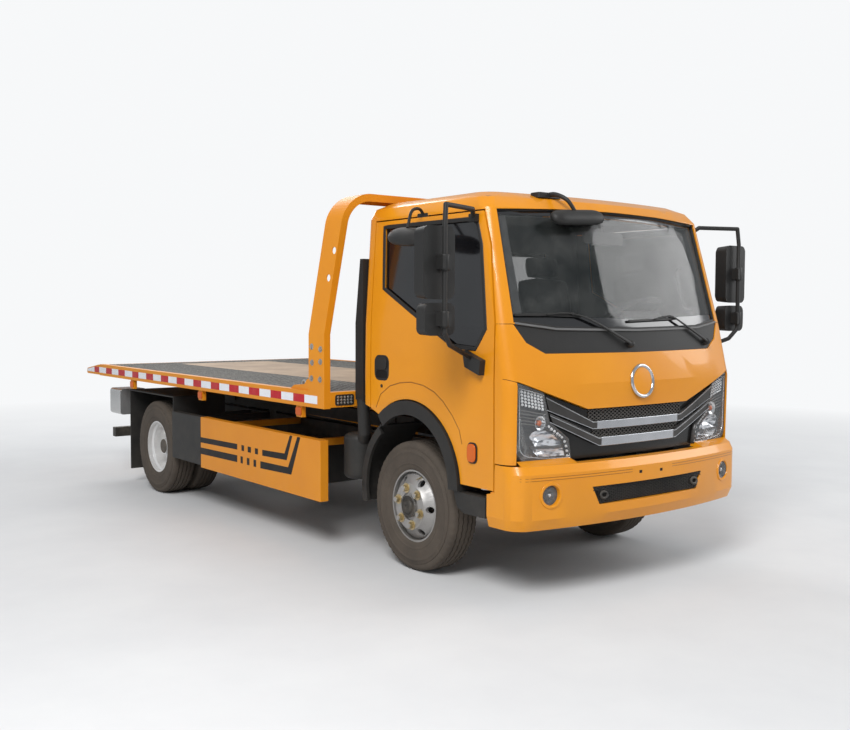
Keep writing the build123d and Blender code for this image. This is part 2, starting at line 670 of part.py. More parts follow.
with BuildPart() as arch_form:
    add(arch_band((ARCH_Y, ARCH_Z), ARCH_R, ARCH_R - ARCH_LINER, ARCH_END_DEG, 180, ARCH_INNER_X,
                  ARCH_FACE_X))
    add(arch_band((ARCH_Y, ARCH_Z), ARCH_R, ARCH_R - ARCH_LIP, ARCH_END_DEG, 180,
                  ARCH_FACE_X - ARCH_LIP_WIDTH, ARCH_FACE_X))
    add(arch_band((MUDGUARD_Y, MUDGUARD_Z), MUDGUARD_R, MUDGUARD_R - ARCH_LINER, -14, 56, ARCH_INNER_X,
                  925))
    add(arch_band((MUDGUARD_Y, MUDGUARD_Z), MUDGUARD_R, MUDGUARD_R - MUDGUARD_LIP, -14, 52, 905, 925))
    add(side_slab(at_front(STEP_OUTLINE), 780, 940))
    add(block((780, 940), (F - 517, F - 480), (545, 570)))
    add(block((RAIL_X + SEAT_GAP, 640), (F + 428, F + 456), (590, 640)))
with BuildPart() as wheel_arches:
    for side_name, side in SIDES:
        add(sided(arch_form.part, side))
wheel_arches.part.label = "wheel_arches"
export_step(wheel_arches.part, "parts/wheel_arches.step")

# Air intake behind the cab: snorkel, neck and cleaner drum
duct_outline = ((CAB_BACK + SEAT_GAP, 990.0), (F + 516, 990.0), (F + 516, 1470.0), (F + 464, 1870.0),
                (CAB_BACK + SEAT_GAP, 1870.0))
with BuildPart() as air_duct:
    add(side_slab(duct_outline, -937, -880))
    add(rod((-905, CAB_BACK + 45, 1000), (-890, CAB_BACK + 52, 780), 40))
    with Locations((-890, CAB_BACK + 52, 780)):
        Sphere(40)
    add(rod((-890, CAB_BACK + 52, 780), (-850, F + 570, 680), 40))
    with Locations((-835, F + 600, 620)):
        Cylinder(112, 290)
    fillet(edges().filter_by(GeomType.CIRCLE).filter_by(lambda e: e.radius > 100), 38)
    add(rod((-800, F + 620, 620), (-RAIL_X - SEAT_GAP, F + 620, 620), 26))
air_duct.part.label = "air_duct"
export_step(air_duct.part, "parts/air_duct.step")

# Chassis frame: channel rails with spring hangers, rest pads and the tilt pivot's ears
HANGER_Y = (F - SPRING_HALF, F + SPRING_HALF, R - SPRING_HALF, R + SPRING_HALF)
REST_Y = (F + 900.0, F + 2600.0, F + 3800.0)
HANGER_BOTTOM = SPRING_EYE_Z + SPRING_EYE_R + SEAT_GAP
with BuildPart() as rail_form:
    add(block((RAIL_X - RAIL_FLANGE, RAIL_X), (RAIL_FRONT, RAIL_REAR), (RAIL_BOTTOM, RAIL_TOP)))
    add(block((RAIL_X - RAIL_FLANGE - 1, RAIL_X - RAIL_PLATE), (RAIL_FRONT - 1, RAIL_REAR + 1),
              (RAIL_BOTTOM + RAIL_PLATE, RAIL_TOP - RAIL_PLATE)), mode=Mode.SUBTRACT)
    for y in HANGER_Y:
        add(block((RAIL_X, SPRING_X + SPRING_WIDTH / 2), (y - 34, y + 34),
                  (HANGER_BOTTOM, HANGER_BOTTOM + 46)))
    for y in REST_Y:
        add(block((RAIL_X - 60, RAIL_X), (y - 60, y + 60), (RAIL_TOP, TILT_BOTTOM - SEAT_GAP)))
    add(block((RAIL_X, RAIL_X + 42), (PIVOT_Y - 60, PIVOT_Y + 55), (RAIL_BOTTOM + 30, RAIL_TOP - 20)))
    add(block((RAIL_X + 18, RAIL_X + 42), (PIVOT_Y - 60, PIVOT_Y + 45), (RAIL_TOP - 40, PIVOT_Z)))
    add(rod((RAIL_X + 18, PIVOT_Y, PIVOT_Z), (RAIL_X + 42, PIVOT_Y, PIVOT_Z), 45))
    add(rod((TILT_X - TILT_WIDTH / 2, PIVOT_Y, PIVOT_Z), (RAIL_X + 42, PIVOT_Y, PIVOT_Z), PIVOT_R))
with BuildPart() as frame_rails:
    for side_name, side in SIDES:
        add(sided(rail_form.part, side))
frame_rails.part.label = "frame_rails"
export_step(frame_rails.part, "parts/frame_rails.step")

# Cross members: y, low z, high z. The one at the lift cylinders carries their lugs.
CROSS_TABLE = (
    (F - 640.0, 520.0, 680.0), (F + 700.0, 520.0, 680.0), (F + 1700.0, 520.0, 680.0),
    (LIFT_BASE_Y - 85.0, 520.0, 680.0), (F + 3760.0, 560.0, 680.0), (PIVOT_Y, 520.0, 680.0),
)
CROSS_DEPTH = 60.0
cross_half = RAIL_X - RAIL_PLATE - SEAT_GAP
LUG_GAP = 4.0
LIFT_EYE_WIDTH = 40.0
with BuildPart() as frame_cross:
    for y, low, high in CROSS_TABLE:
        add(block((-cross_half, cross_half), (y - CROSS_DEPTH / 2, y + CROSS_DEPTH / 2), (low, high)))
    add(block((-280, 280), (LIFT_BASE_Y - 115, LIFT_BASE_Y - 55), (LIFT_BASE_Z - 34, 525)))
    for side_name, side in SIDES:
        for inner in (-LIFT_EYE_WIDTH / 2 - LUG_GAP - 12, LIFT_EYE_WIDTH / 2 + LUG_GAP):
            x = side * LIFT_X + inner
            add(block((x, x + 12), (LIFT_BASE_Y - 60, LIFT_BASE_Y + 24),
                      (LIFT_BASE_Z - 34, LIFT_BASE_Z + 34)))
        add(rod((side * LIFT_X - 36, LIFT_BASE_Y, LIFT_BASE_Z),
                (side * LIFT_X + 36, LIFT_BASE_Y, LIFT_BASE_Z), LIFT_PIN_R))
frame_cross.part.label = "frame_cross"
export_step(frame_cross.part, "parts/frame_cross.step")

# Front axle beam with its bosses and kingpins
with BuildPart() as front_axle:
    beam = ((0.0, 300.0), (430.0, 300.0), (560.0, 345.0), (660.0, 352.0), (660.0, 422.0), (540.0, 418.0),
            (470.0, 389.7), (0.0, 389.7))
    add(front_slab(both_halves(beam), F - 32, F + 32))
    for side_name, side in SIDES:
        x = side * KINGPIN_X
        add(rod((x, F, BOSS_BOTTOM), (x, F, BOSS_TOP), BOSS_R))
        add(rod((x, F, BOSS_BOTTOM - EAR_GAP - EAR_HEIGHT), (x, F, BOSS_TOP + EAR_GAP + EAR_HEIGHT),
                KINGPIN_R))
front_axle.part.label = "front_axle"
export_step(front_axle.part, "parts/front_axle.step")

# Knuckles: two ears on the kingpin, spindle and steering arm
EAR_R = 40.0
KNUCKLE_FACE = KINGPIN_X + 62.0
ARM_Z = BOSS_BOTTOM - EAR_GAP - EAR_HEIGHT / 2
HUB_OUTER = TRACK_FRONT / 2 + DISC_OFFSET
with BuildPart() as knuckle_form:
    for low in (BOSS_BOTTOM - EAR_GAP - EAR_HEIGHT, BOSS_TOP + EAR_GAP):
        add(rod((KINGPIN_X, F, low), (KINGPIN_X, F, low + EAR_HEIGHT), EAR_R))
        add(block((KINGPIN_X, KNUCKLE_FACE), (F - EAR_R, F + EAR_R), (low, low + EAR_HEIGHT)))
    add(block((KINGPIN_X + BOSS_R + 6, KNUCKLE_FACE), (F - EAR_R, F + EAR_R),
              (BOSS_BOTTOM - EAR_GAP - EAR_HEIGHT, BOSS_TOP + EAR_GAP + EAR_HEIGHT)))
    add(rod((KNUCKLE_FACE - 5, F, TYRE_R), (HUB_OUTER - 12, F, TYRE_R), SPINDLE_R))
    add(side_slab(((F, ARM_Z - 12), (F + ARM_REACH + 20, ARM_Z - 12), (F + ARM_REACH + 20, ARM_Z + 12),
                   (F, ARM_Z + 12)),
                  KINGPIN_X - ARM_INSET - 20, KINGPIN_X - ARM_INSET + 20))
    add(block((KINGPIN_X - ARM_INSET - 20, KINGPIN_X), (F + 22, F + EAR_R), (ARM_Z - 12, ARM_Z + 12)))
    add(rod((KINGPIN_X, F, 250), (KINGPIN_X, F, 550), KINGPIN_R + PIN_CLEARANCE), mode=Mode.SUBTRACT)
for side_name, side in SIDES:
    with BuildPart() as knuckle:
        add(sided(knuckle_form.part, side))
    knuckle.part.label = f"knuckle_{side_name}"
    export_step(knuckle.part, f"parts/knuckle_{side_name}.step")

# Tie rod behind the axle, its eyes resting on the steering arms
TIE_X = KINGPIN_X - ARM_INSET
TIE_Z = ARM_Z - 12 - SEAT_GAP
with BuildPart() as tie_rod:
    for side_name, side in SIDES:
        add(rod((side * TIE_X, F + ARM_REACH, TIE_Z - 34), (side * TIE_X, F + ARM_REACH, TIE_Z), 18))
    add(rod((-TIE_X, F + ARM_REACH, TIE_Z - 18), (TIE_X, F + ARM_REACH, TIE_Z - 18), TIE_ROD_R))
tie_rod.part.label = "tie_rod"
export_step(tie_rod.part, "parts/tie_rod.step")

# Leaf springs, front pair and rear pair, bowed between their eyes.
# Each row: station, height of the underside at the axle, pack thickness
SPRING_TABLE = ((F, 390.0, 52.0), (R, TYRE_R + AXLE_TUBE_R + SEAT_GAP, 70.0))
with BuildPart() as leaf_springs:
    for station, seat, pack in SPRING_TABLE:
        for side_name, side in SIDES:
            x = side * SPRING_X - SPRING_WIDTH / 2
            with BuildSketch(Plane.YZ.offset(x)):
                with BuildLine():
                    ends = (station - SPRING_HALF, station + SPRING_HALF)
                    ThreePointArc((ends[0], SPRING_EYE_Z - 8), (station, seat), (ends[1], SPRING_EYE_Z - 8))
                    Line((ends[1], SPRING_EYE_Z - 8), (ends[1], SPRING_EYE_Z + 8))
                    ThreePointArc((ends[1], SPRING_EYE_Z + 8), (station, seat + pack),
                                  (ends[0], SPRING_EYE_Z + 8))
                    Line((ends[0], SPRING_EYE_Z + 8), (ends[0], SPRING_EYE_Z - 8))
                make_face()
                with Locations((ends[0], SPRING_EYE_Z), (ends[1], SPRING_EYE_Z)):
                    Circle(SPRING_EYE_R)
            extrude(amount=SPRING_WIDTH)
leaf_springs.part.label = "leaf_springs"
export_step(leaf_springs.part, "parts/leaf_springs.step")

# Rear axle housing with its bowl and stub ends, and the propeller shaft
BOWL_R = 160.0
STUB_R = 38.0
BACK_PLATE_X = 628.0
with BuildPart() as driveline:
    add(rod((-BACK_PLATE_X, R, TYRE_R), (BACK_PLATE_X, R, TYRE_R), AXLE_TUBE_R))
    with Locations((0, R, TYRE_R)):
        Cylinder(BOWL_R, 190, rotation=(90, 0, 0))
    fillet(edges().filter_by(GeomType.CIRCLE).filter_by(lambda e: e.radius > 150), 45)
    add(rod((-TWIN_OUTER_X + 20, R, TYRE_R), (TWIN_OUTER_X - 20, R, TYRE_R), STUB_R))
    add(rod((0, R - 150, TYRE_R + 10), (0, R - 60, TYRE_R), 60))
    add(rod((0, R - 150 - SEAT_GAP, TYRE_R + 10), (0, F + 600, 480), 38))
driveline.part.label = "driveline"
export_step(driveline.part, "parts/driveline.step")

# Engine and gearbox as one plain block, on its mounting bar
with BuildPart() as engine_block:
    add(block((-240, 240), (F - 420, F + 300), (440, 900)))
    add(block((-150, 150), (F + 300, F + 598), (430, 660)))
    add(block((-cross_half, cross_half), (F - 320, F - 260), (560, 610)))
engine_block.part.label = "engine_block"
export_step(engine_block.part, "parts/engine_block.step")

# Wheels
BEAD_HALF = RIM_WIDTH / 2 - SEAT_GAP
with BuildPart() as tyre_form:
    half = TYRE_WIDTH / 2
    with BuildSketch(Plane.XY):
        with BuildLine():
            Polyline((-BEAD_HALF, TYRE_BEAD_R), (-BEAD_HALF, RIM_FLANGE_R + 3), (-half + 2, 262),
                     (-half, 300),
                     (-half + 8, 352), (-half + 22, 378), (-half + 40, TYRE_R), (half - 40,
                                                                                 TYRE_R), (half - 22, 378),
                     (half - 8, 352), (half, 300), (half - 2, 262), (BEAD_HALF, RIM_FLANGE_R + 3),
                     (BEAD_HALF, TYRE_BEAD_R), (BEAD_HALF - 22, TYRE_BEAD_R), (half - 20,
                                                                               280), (half - 24, 352),
                     (-half + 24, 352), (-half + 20, 280), (-BEAD_HALF + 22, TYRE_BEAD_R), close=True)
        make_face()
    revolve(axis=Axis.X)


def disc_wheel():
    """Rim and dished disc of one wheel, with its outer face towards +X."""
    half = RIM_WIDTH / 2
    face = DISC_OFFSET
    with BuildPart() as wheel:
        with BuildSketch(Plane.XY):
            with BuildLine():
                Polyline((-half, RIM_FLANGE_R), (-half, RIM_BEAD_R), (-half + 30, RIM_BEAD_R),
                         (-half + 42, 198),
                         (half - 42, 198), (half - 30, RIM_BEAD_R), (half, RIM_BEAD_R), (half,
                                                                                         RIM_FLANGE_R),
                         (half + RIM_WALL, RIM_FLANGE_R), (half + RIM_WALL, RIM_BEAD_R - RIM_WALL),
                         (half - 26, RIM_BEAD_R - RIM_WALL), (half - 38, 198 - RIM_WALL),
                         (-half + 38, 198 - RIM_WALL), (-half + 26, RIM_BEAD_R - RIM_WALL),
                         (-half - RIM_WALL, RIM_BEAD_R - RIM_WALL), (-half - RIM_WALL,
                                                                     RIM_FLANGE_R), close=True)
            make_face()
            with BuildLine():
                Polyline((half - 38, 199), (half - 8, 192), (face - 14, 150), (face, 138),
                         (face, RIM_BORE_R),
                         (face - DISC_THICKNESS, RIM_BORE_R), (face - DISC_THICKNESS, 134), (face - 26,
                                                                                             144),
                         (half - 22, 182), (half - 60, 191), close=True)
            make_face()
        revolve(axis=Axis.X)
        with BuildSketch(Plane.YZ):
            with PolarLocations(HAND_HOLE_CIRCLE_R, STUD_COUNT):
                Circle(HAND_HOLE_R)
        extrude(amount=200, mode=Mode.SUBTRACT)
    return wheel.part


wheel_face = disc_wheel()


def hub(inner_x, outer_x, bore_r, drum_low, drum_high, nose, seat_x):
    """Hub with its brake drum and the flange behind the disc; it turns on a spindle along X."""
    with BuildPart() as piece:
        add(rod((seat_x - 14, 0, 0), (seat_x + 0.5, 0, 0), HUB_FLANGE_R))
        add(rod((inner_x, 0, 0), (outer_x, 0, 0), 78))
        add(rod((outer_x, 0, 0), (outer_x + nose, 0, 0), 66))
        add(rod((drum_low, 0, 0), (drum_high, 0, 0), DRUM_R))
        add(rod((drum_low - 1, 0, 0), (drum_high - DRUM_WALL, 0, 0), DRUM_R - DRUM_WALL),
            mode=Mode.SUBTRACT)
        add(rod((drum_high - 2 * DRUM_WALL, 0, 0), (outer_x, 0, 0), 78))
        add(rod((drum_low - 1, 0, 0), (outer_x + nose - 14, 0, 0), bore_r), mode=Mode.SUBTRACT)
    return piece.part


front_seat = TRACK_FRONT / 2 + DISC_OFFSET - DISC_THICKNESS
front_hub = hub(TRACK_FRONT / 2 - 15, front_seat, SPINDLE_R + RUN_CLEARANCE, TRACK_FRONT / 2 - 50,
                TRACK_FRONT / 2 + 30, 20, front_seat)
for side_name, side in SIDES:
    with BuildPart() as tyre_front:
        add(sided(tyre_form.part.moved(Location((TRACK_FRONT / 2, F, TYRE_R))), side))
    tyre_front.part.label = f"tyre_front_{side_name}"
    export_step(tyre_front.part, f"parts/tyre_front_{side_name}.step")
    with BuildPart() as rim_front:
        add(sided(wheel_face.moved(Location((TRACK_FRONT / 2, F, TYRE_R))), side))
        add(sided(front_hub.moved(Location((0, F, TYRE_R))), side))
        with BuildSketch(Plane.YZ.offset(side * (TRACK_FRONT / 2 + DISC_OFFSET - 30))):
            with Locations((F, TYRE_R)):
                with PolarLocations(STUD_CIRCLE_R, STUD_COUNT, start_angle=15):
                    Circle(STUD_R + 5)
        extrude(amount=side * 58)
    rim_front.part.label = f"rim_front_{side_name}"
    export_step(rim_front.part, f"parts/rim_front_{side_name}.step")

CONTACT_X = TWIN_INNER_X + DISC_OFFSET
rear_hub = hub(CONTACT_X - 110, CONTACT_X + 12, STUB_R + RUN_CLEARANCE, CONTACT_X - 200, CONTACT_X - 90,
               130,
               CONTACT_X - DISC_THICKNESS)
outer_face = mirror(wheel_face, about=Plane.YZ)
for side_name, side in SIDES:
    with BuildPart() as tyres_rear:
        for x in (TWIN_INNER_X, TWIN_OUTER_X):
            add(sided(tyre_form.part.moved(Location((x, R, TYRE_R))), side))
    tyres_rear.part.label = f"tyres_rear_{side_name}"
    export_step(tyres_rear.part, f"parts/tyres_rear_{side_name}.step")
    with BuildPart() as rims_rear:
        add(sided(wheel_face.moved(Location((TWIN_INNER_X, R, TYRE_R))), side))
        add(sided(outer_face.moved(Location((TWIN_OUTER_X, R, TYRE_R))), side))
        add(sided(rear_hub.moved(Location((0, R, TYRE_R))), side))
        with BuildSketch(Plane.YZ.offset(side * (CONTACT_X - 12))):
            with Locations((R, TYRE_R)):
                with PolarLocations(STUD_CIRCLE_R, STUD_COUNT, start_angle=15):
                    Circle(STUD_R + 5)
        extrude(amount=side * 50)
    rims_rear.part.label = f"rims_rear_{side_name}"
    export_step(rims_rear.part, f"parts/rims_rear_{side_name}.step")

# Tanks and guards along the sides
GUARD_X = 1100.0
GUARD_DEPTH = 60.0
GUARD_PLATE = 5.0
GUARD_LOW = 332.0
GUARD_HIGH = 724.0
GUARD_FRONT = F + 672.0
GUARD_REAR = F + 2425.0
PANEL_LOW = 349.0
PANEL_REAR = F + 2960.0
HANGER_BAR = 46.0
HANGER_TOP = 698.0


def open_pan(x_face, depth, plate, y, z):
    """Shallow pressed pan, open towards the truck's middle."""
    with BuildPart() as pan:
        add(block((x_face - depth, x_face), y, z))
        add(block((x_face - depth - 1, x_face - plate), (y[0] + plate, y[1] - plate),
                  (z[0] + plate, z[1] - plate)),
            mode=Mode.SUBTRACT)
    return pan.part


def hanger(x_face, y):
    """Square bar from the frame rail out to a guard."""
    return block((RAIL_X + SEAT_GAP, x_face), (y - HANGER_BAR / 2, y + HANGER_BAR / 2),
                 (HANGER_TOP - HANGER_BAR, HANGER_TOP))


with BuildPart() as guard_form:
    add(open_pan(GUARD_X, GUARD_DEPTH, GUARD_PLATE, (GUARD_FRONT, GUARD_REAR), (GUARD_LOW, GUARD_HIGH)))
    for y in (GUARD_FRONT + 260, GUARD_REAR - 260):
        add(hanger(GUARD_X - GUARD_PLATE, y))
with BuildPart() as side_guards:
    for side_name, side in SIDES:
        add(sided(guard_form.part, side))
side_guards.part.label = "side_guards"
export_step(side_guards.part, "parts/side_guards.step")

with BuildPart() as box_form:
    add(open_pan(GUARD_X, GUARD_DEPTH, GUARD_PLATE, (GUARD_REAR + 4, PANEL_REAR), (PANEL_LOW, GUARD_HIGH)))
    add(hanger(GUARD_X - GUARD_PLATE, GUARD_REAR + 240))
with BuildPart() as side_boxes:
    for side_name, side in SIDES:
        add(sided(box_form.part, side))
side_boxes.part.label = "side_boxes"
export_step(side_boxes.part, "parts/side_boxes.step")

with BuildPart() as fuel_tank:
    with BuildSketch(Plane.XZ.offset(-(F + 1150))):
        with Locations((680, 470)):
            RectangleRounded(460, 300, 60)
    extrude(amount=-900)
    for y in (F + 1300, F + 1900):
        add(block((RAIL_X + SEAT_GAP, 460), (y, y + 50), (540, 600)))
fuel_tank.part.label = "fuel_tank"
export_step(fuel_tank.part, "parts/fuel_tank.step")

with BuildPart() as battery_box:
    add(block((-900, -470), (F + 1150, F + 1650), (350, 620)))
    fillet(edges().filter_by(Axis.Y), 25)
    add(block((-480, -RAIL_X - SEAT_GAP), (F + 1250, F + 1550), (540, 600)))
battery_box.part.label = "battery_box"
export_step(battery_box.part, "parts/battery_box.step")

with BuildPart() as exhaust:
    add(rod((-560, F + 1800, 470), (-560, F + 2400, 470), 95))
    fillet(edges().filter_by(GeomType.CIRCLE).filter_by(lambda e: e.radius > 90), 24)
    add(rod((-560, F + 2380, 470), (-560, F + 2560, 470), 34))
    add(rod((-560, F + 1820, 470), (-560, F + 1690, 470), 30))
    add(block((-540, -RAIL_X - SEAT_GAP), (F + 2080, F + 2130), (530, 575)))
exhaust.part.label = "exhaust"
export_step(exhaust.part, "parts/exhaust.step")

# Rear mudguards: front skirt, top and long flap over the twin wheels
MUD_INNER = 625.0
MUD_OUTER = 1085.0
MUD_TOP = 842.0
MUD_PLATE = 10.0
MUD_FRONT = F + 2966.0
MUD_REAR = F + 3900.0
FLAP_LOW = 135.0
mud_outline = (
    (MUD_FRONT, 640.0), (MUD_FRONT, MUD_TOP), (MUD_REAR, MUD_TOP), (MUD_REAR, FLAP_LOW),
    (MUD_REAR - MUD_PLATE, FLAP_LOW), (MUD_REAR - MUD_PLATE, MUD_TOP - MUD_PLATE),
    (MUD_FRONT + MUD_PLATE, MUD_TOP - MUD_PLATE), (MUD_FRONT + MUD_PLATE, 640.0),
)
with BuildPart() as mud_form:
    add(side_slab(mud_outline, MUD_INNER, MUD_OUTER))
    for y in (MUD_FRONT + MUD_PLATE - 2, MUD_REAR - 2):
        add(block((RAIL_X + SEAT_GAP, MUD_OUTER - 30), (y, y + 35), (644, 690)))
with BuildPart() as rear_mudguards:
    for side_name, side in SIDES:
        add(sided(mud_form.part, side))
rear_mudguards.part.label = "rear_mudguards"
export_step(rear_mudguards.part, "parts/rear_mudguards.step")

# Rear underrun bar on two drops, and the lamp boxes on their carrier bars
BAR_Y = F + 4330.0
BAR_HALF = 1060.0
with BuildPart() as rear_bar:
    add(block((-BAR_HALF, BAR_HALF), (BAR_Y, BAR_Y + 70), (372, 458)))
    for side_name, side in SIDES:
        x = side * (RAIL_X - 30)
        add(side_slab(((BAR_Y - 190, RAIL_BOTTOM - SEAT_GAP), (BAR_Y - 40, RAIL_BOTTOM - SEAT_GAP),
                       (BAR_Y + 60, 458), (BAR_Y + 60, 372), (BAR_Y - 10, 372)), x - 12, x + 12))
rear_bar.part.label = "rear_bar"
export_step(rear_bar.part, "parts/rear_bar.step")

LAMP_BOX_X = (832.0, 1080.0)
LAMP_BOX_Y = (F + 4150.0, F + 4400.0)
LAMP_BOX_Z = (592.0, 826.0)
with BuildPart() as lamp_box_form:
    add(block(LAMP_BOX_X, LAMP_BOX_Y, LAMP_BOX_Z))
    fillet(edges().filter_by(Axis.Y), 28)
    add(block((RAIL_X + 42 + SEAT_GAP, 860), (LAMP_BOX_Y[0] + 40, LAMP_BOX_Y[0] + 80), (620, 670)))
with BuildPart() as lamp_boxes:
    for side_name, side in SIDES:
        add(sided(lamp_box_form.part, side))
lamp_boxes.part.label = "lamp_boxes"
export_step(lamp_boxes.part, "parts/lamp_boxes.step")

# Tilt frame: two box rails, cross members, wear pads and keepers for the deck's beams
TILT_CROSS_Y = (F + 680.0, F + 1300.0, F + 2000.0, F + 2700.0, LIFT_EYE_Y, F + 4100.0)
KEEPER_Y = (F + 900.0, F + 2200.0, F + 3300.0, F + 4130.0)
KEEPER_LENGTH = 110.0
KEEPER_GAP = 6.0
tilt_inner = TILT_X - TILT_WIDTH / 2
with BuildPart() as tilt_form:
    add(block((tilt_inner, tilt_inner + TILT_WIDTH), (TILT_FRONT, PIVOT_Y + 50), (TILT_BOTTOM, TILT_TOP)))
    beam_edge = TILT_X + BEAM_WIDTH / 2
    lip = BEAM_BOTTOM + BEAM_FLANGE + KEEPER_GAP
    for y in KEEPER_Y:
        run = (y - KEEPER_LENGTH / 2, y + KEEPER_LENGTH / 2)
        add(block((beam_edge + KEEPER_GAP, beam_edge + KEEPER_GAP + 10), run, (TILT_BOTTOM + 40, lip + 10)))
        add(block((beam_edge - 24, beam_edge + KEEPER_GAP + 10), run, (lip, lip + 10)))
        add(block((TILT_X, beam_edge + KEEPER_GAP + 5), run, (TILT_BOTTOM + 40, TILT_TOP - 10)))
        add(block((tilt_inner + 5, tilt_inner + TILT_WIDTH - 5), run, (TILT_TOP, TILT_TOP + PAD_HEIGHT)))
    add(rod((tilt_inner - 1, PIVOT_Y, PIVOT_Z), (RAIL_X + 60, PIVOT_Y, PIVOT_Z), PIVOT_R + PIN_CLEARANCE),
        mode=Mode.SUBTRACT)
with BuildPart() as tilt_frame:
    for side_name, side in SIDES:
        add(sided(tilt_form.part, side))
    for y in TILT_CROSS_Y:
        add(block((-tilt_inner, tilt_inner), (y - 35, y + 35), (TILT_BOTTOM + 20, TILT_TOP)))
    for side_name, side in SIDES:
        x = side * LIFT_X
        eye_slot = ((x - 30, x + 30), (LIFT_EYE_Y - 80, LIFT_EYE_Y + 40), (TILT_BOTTOM - 20, TILT_TOP + 1))
        add(block(*eye_slot), mode=Mode.SUBTRACT)
        add(rod((x - 30, LIFT_EYE_Y, LIFT_EYE_Z), (x + 30, LIFT_EYE_Y, LIFT_EYE_Z), LIFT_TOP_PIN_R))
tilt_frame.part.label = "tilt_frame"
export_step(tilt_frame.part, "parts/tilt_frame.step")

# Lift cylinders: barrels pivoted on the chassis, rods with an eye at the tilt frame's pins
lift_run = Vector(0, LIFT_EYE_Y - LIFT_BASE_Y, LIFT_EYE_Z - LIFT_BASE_Z)
lift_dir = lift_run.normalized()


def along_lift(x, distance):
    """Point on a lift cylinder's axis, at a distance from its base pin."""
    return (x, LIFT_BASE_Y + lift_dir.Y * distance, LIFT_BASE_Z + lift_dir.Z * distance)


eye_half = LIFT_EYE_WIDTH / 2
rod_start = LIFT_BARREL_LENGTH - LIFT_ROD_INSIDE
with BuildPart() as barrel_form:
    add(rod(along_lift(0, 60), along_lift(0, LIFT_BARREL_LENGTH), LIFT_BARREL_R))
    add(rod(along_lift(0, 24), along_lift(0, 70), 18))
    add(rod((-eye_half, LIFT_BASE_Y, LIFT_BASE_Z), (eye_half, LIFT_BASE_Y, LIFT_BASE_Z), LIFT_EYE_R))
    add(rod((-40, LIFT_BASE_Y, LIFT_BASE_Z), (40, LIFT_BASE_Y, LIFT_BASE_Z), LIFT_PIN_R + PIN_CLEARANCE),
        mode=Mode.SUBTRACT)
    add(rod(along_lift(0, rod_start - 20), along_lift(0, LIFT_BARREL_LENGTH + 5),
            LIFT_ROD_R + RUN_CLEARANCE),
        mode=Mode.SUBTRACT)
with BuildPart() as lift_barrels:
    for side_name, side in SIDES:
        add(barrel_form.part.moved(Location((side * LIFT_X, 0, 0))))
lift_barrels.part.label = "lift_barrels"
export_step(lift_barrels.part, "parts/lift_barrels.step")

with BuildPart() as rod_form:
    add(rod(along_lift(0, rod_start), along_lift(0, lift_run.length - 28), LIFT_ROD_R))
    add(rod((-eye_half, LIFT_EYE_Y, LIFT_EYE_Z), (eye_half, LIFT_EYE_Y, LIFT_EYE_Z), LIFT_EYE_R))
    add(rod((-40, LIFT_EYE_Y, LIFT_EYE_Z), (40, LIFT_EYE_Y, LIFT_EYE_Z), LIFT_TOP_PIN_R + LIFT_EYE_PLAY),
        mode=Mode.SUBTRACT)
with BuildPart() as lift_rods:
    for side_name, side in SIDES:
        add(rod_form.part.moved(Location((side * LIFT_X, 0, 0))))
lift_rods.part.label = "lift_rods"
export_step(lift_rods.part, "parts/lift_rods.step")

# Deck: plate, beams with bearers, channel side rails, tail
BEAM_TOP = DECK_TOP - DECK_PLATE - BEARER_HEIGHT
BEARER_WIDTH = 50.0
BEARER_COUNT = 9
plate_half = DECK_HALF - RAIL_C_WIDTH - SEAT_GAP
with BuildPart() as deck_plate:
    for run in ((DECK_FRONT + RAIL_C_WIDTH, DECK_SEAM), (DECK_SEAM + SEAT_GAP, DECK_REAR)):
        add(block((-plate_half, plate_half), run, (DECK_TOP - DECK_PLATE, DECK_TOP)))
deck_plate.part.label = "deck_plate"
export_step(deck_plate.part, "parts/deck_plate.step")

with BuildPart() as deck_beams:
    for side_name, side in SIDES:
        x = side * TILT_X
        run = (DECK_FRONT + 55, DECK_REAR - 20)
        add(block((x - BEAM_WIDTH / 2, x + BEAM_WIDTH / 2), run, (BEAM_BOTTOM, BEAM_BOTTOM + BEAM_FLANGE)))
        add(block((x - BEAM_WEB / 2, x + BEAM_WEB / 2), run, (BEAM_BOTTOM, BEAM_TOP)))
        add(block((x - BEAM_WIDTH / 2, x + BEAM_WIDTH / 2), run, (BEAM_TOP - BEAM_FLANGE, BEAM_TOP)))
deck_beams.part.label = "deck_beams"
export_step(deck_beams.part, "parts/deck_beams.step")

bearer_half = DECK_HALF - RAIL_C_WIDTH - SEAT_GAP
with BuildPart() as deck_bearers:
    for index in range(BEARER_COUNT):
        y = DECK_FRONT + 120 + index * (DECK_REAR - DECK_FRONT - 190) / (BEARER_COUNT - 1)
        add(block((-bearer_half, bearer_half), (y - BEARER_WIDTH / 2, y + BEARER_WIDTH / 2),
                  (BEAM_TOP + SEAT_GAP, BEAM_TOP + BEARER_HEIGHT - SEAT_GAP)))
deck_bearers.part.label = "deck_bearers"
export_step(deck_bearers.part, "parts/deck_bearers.step")

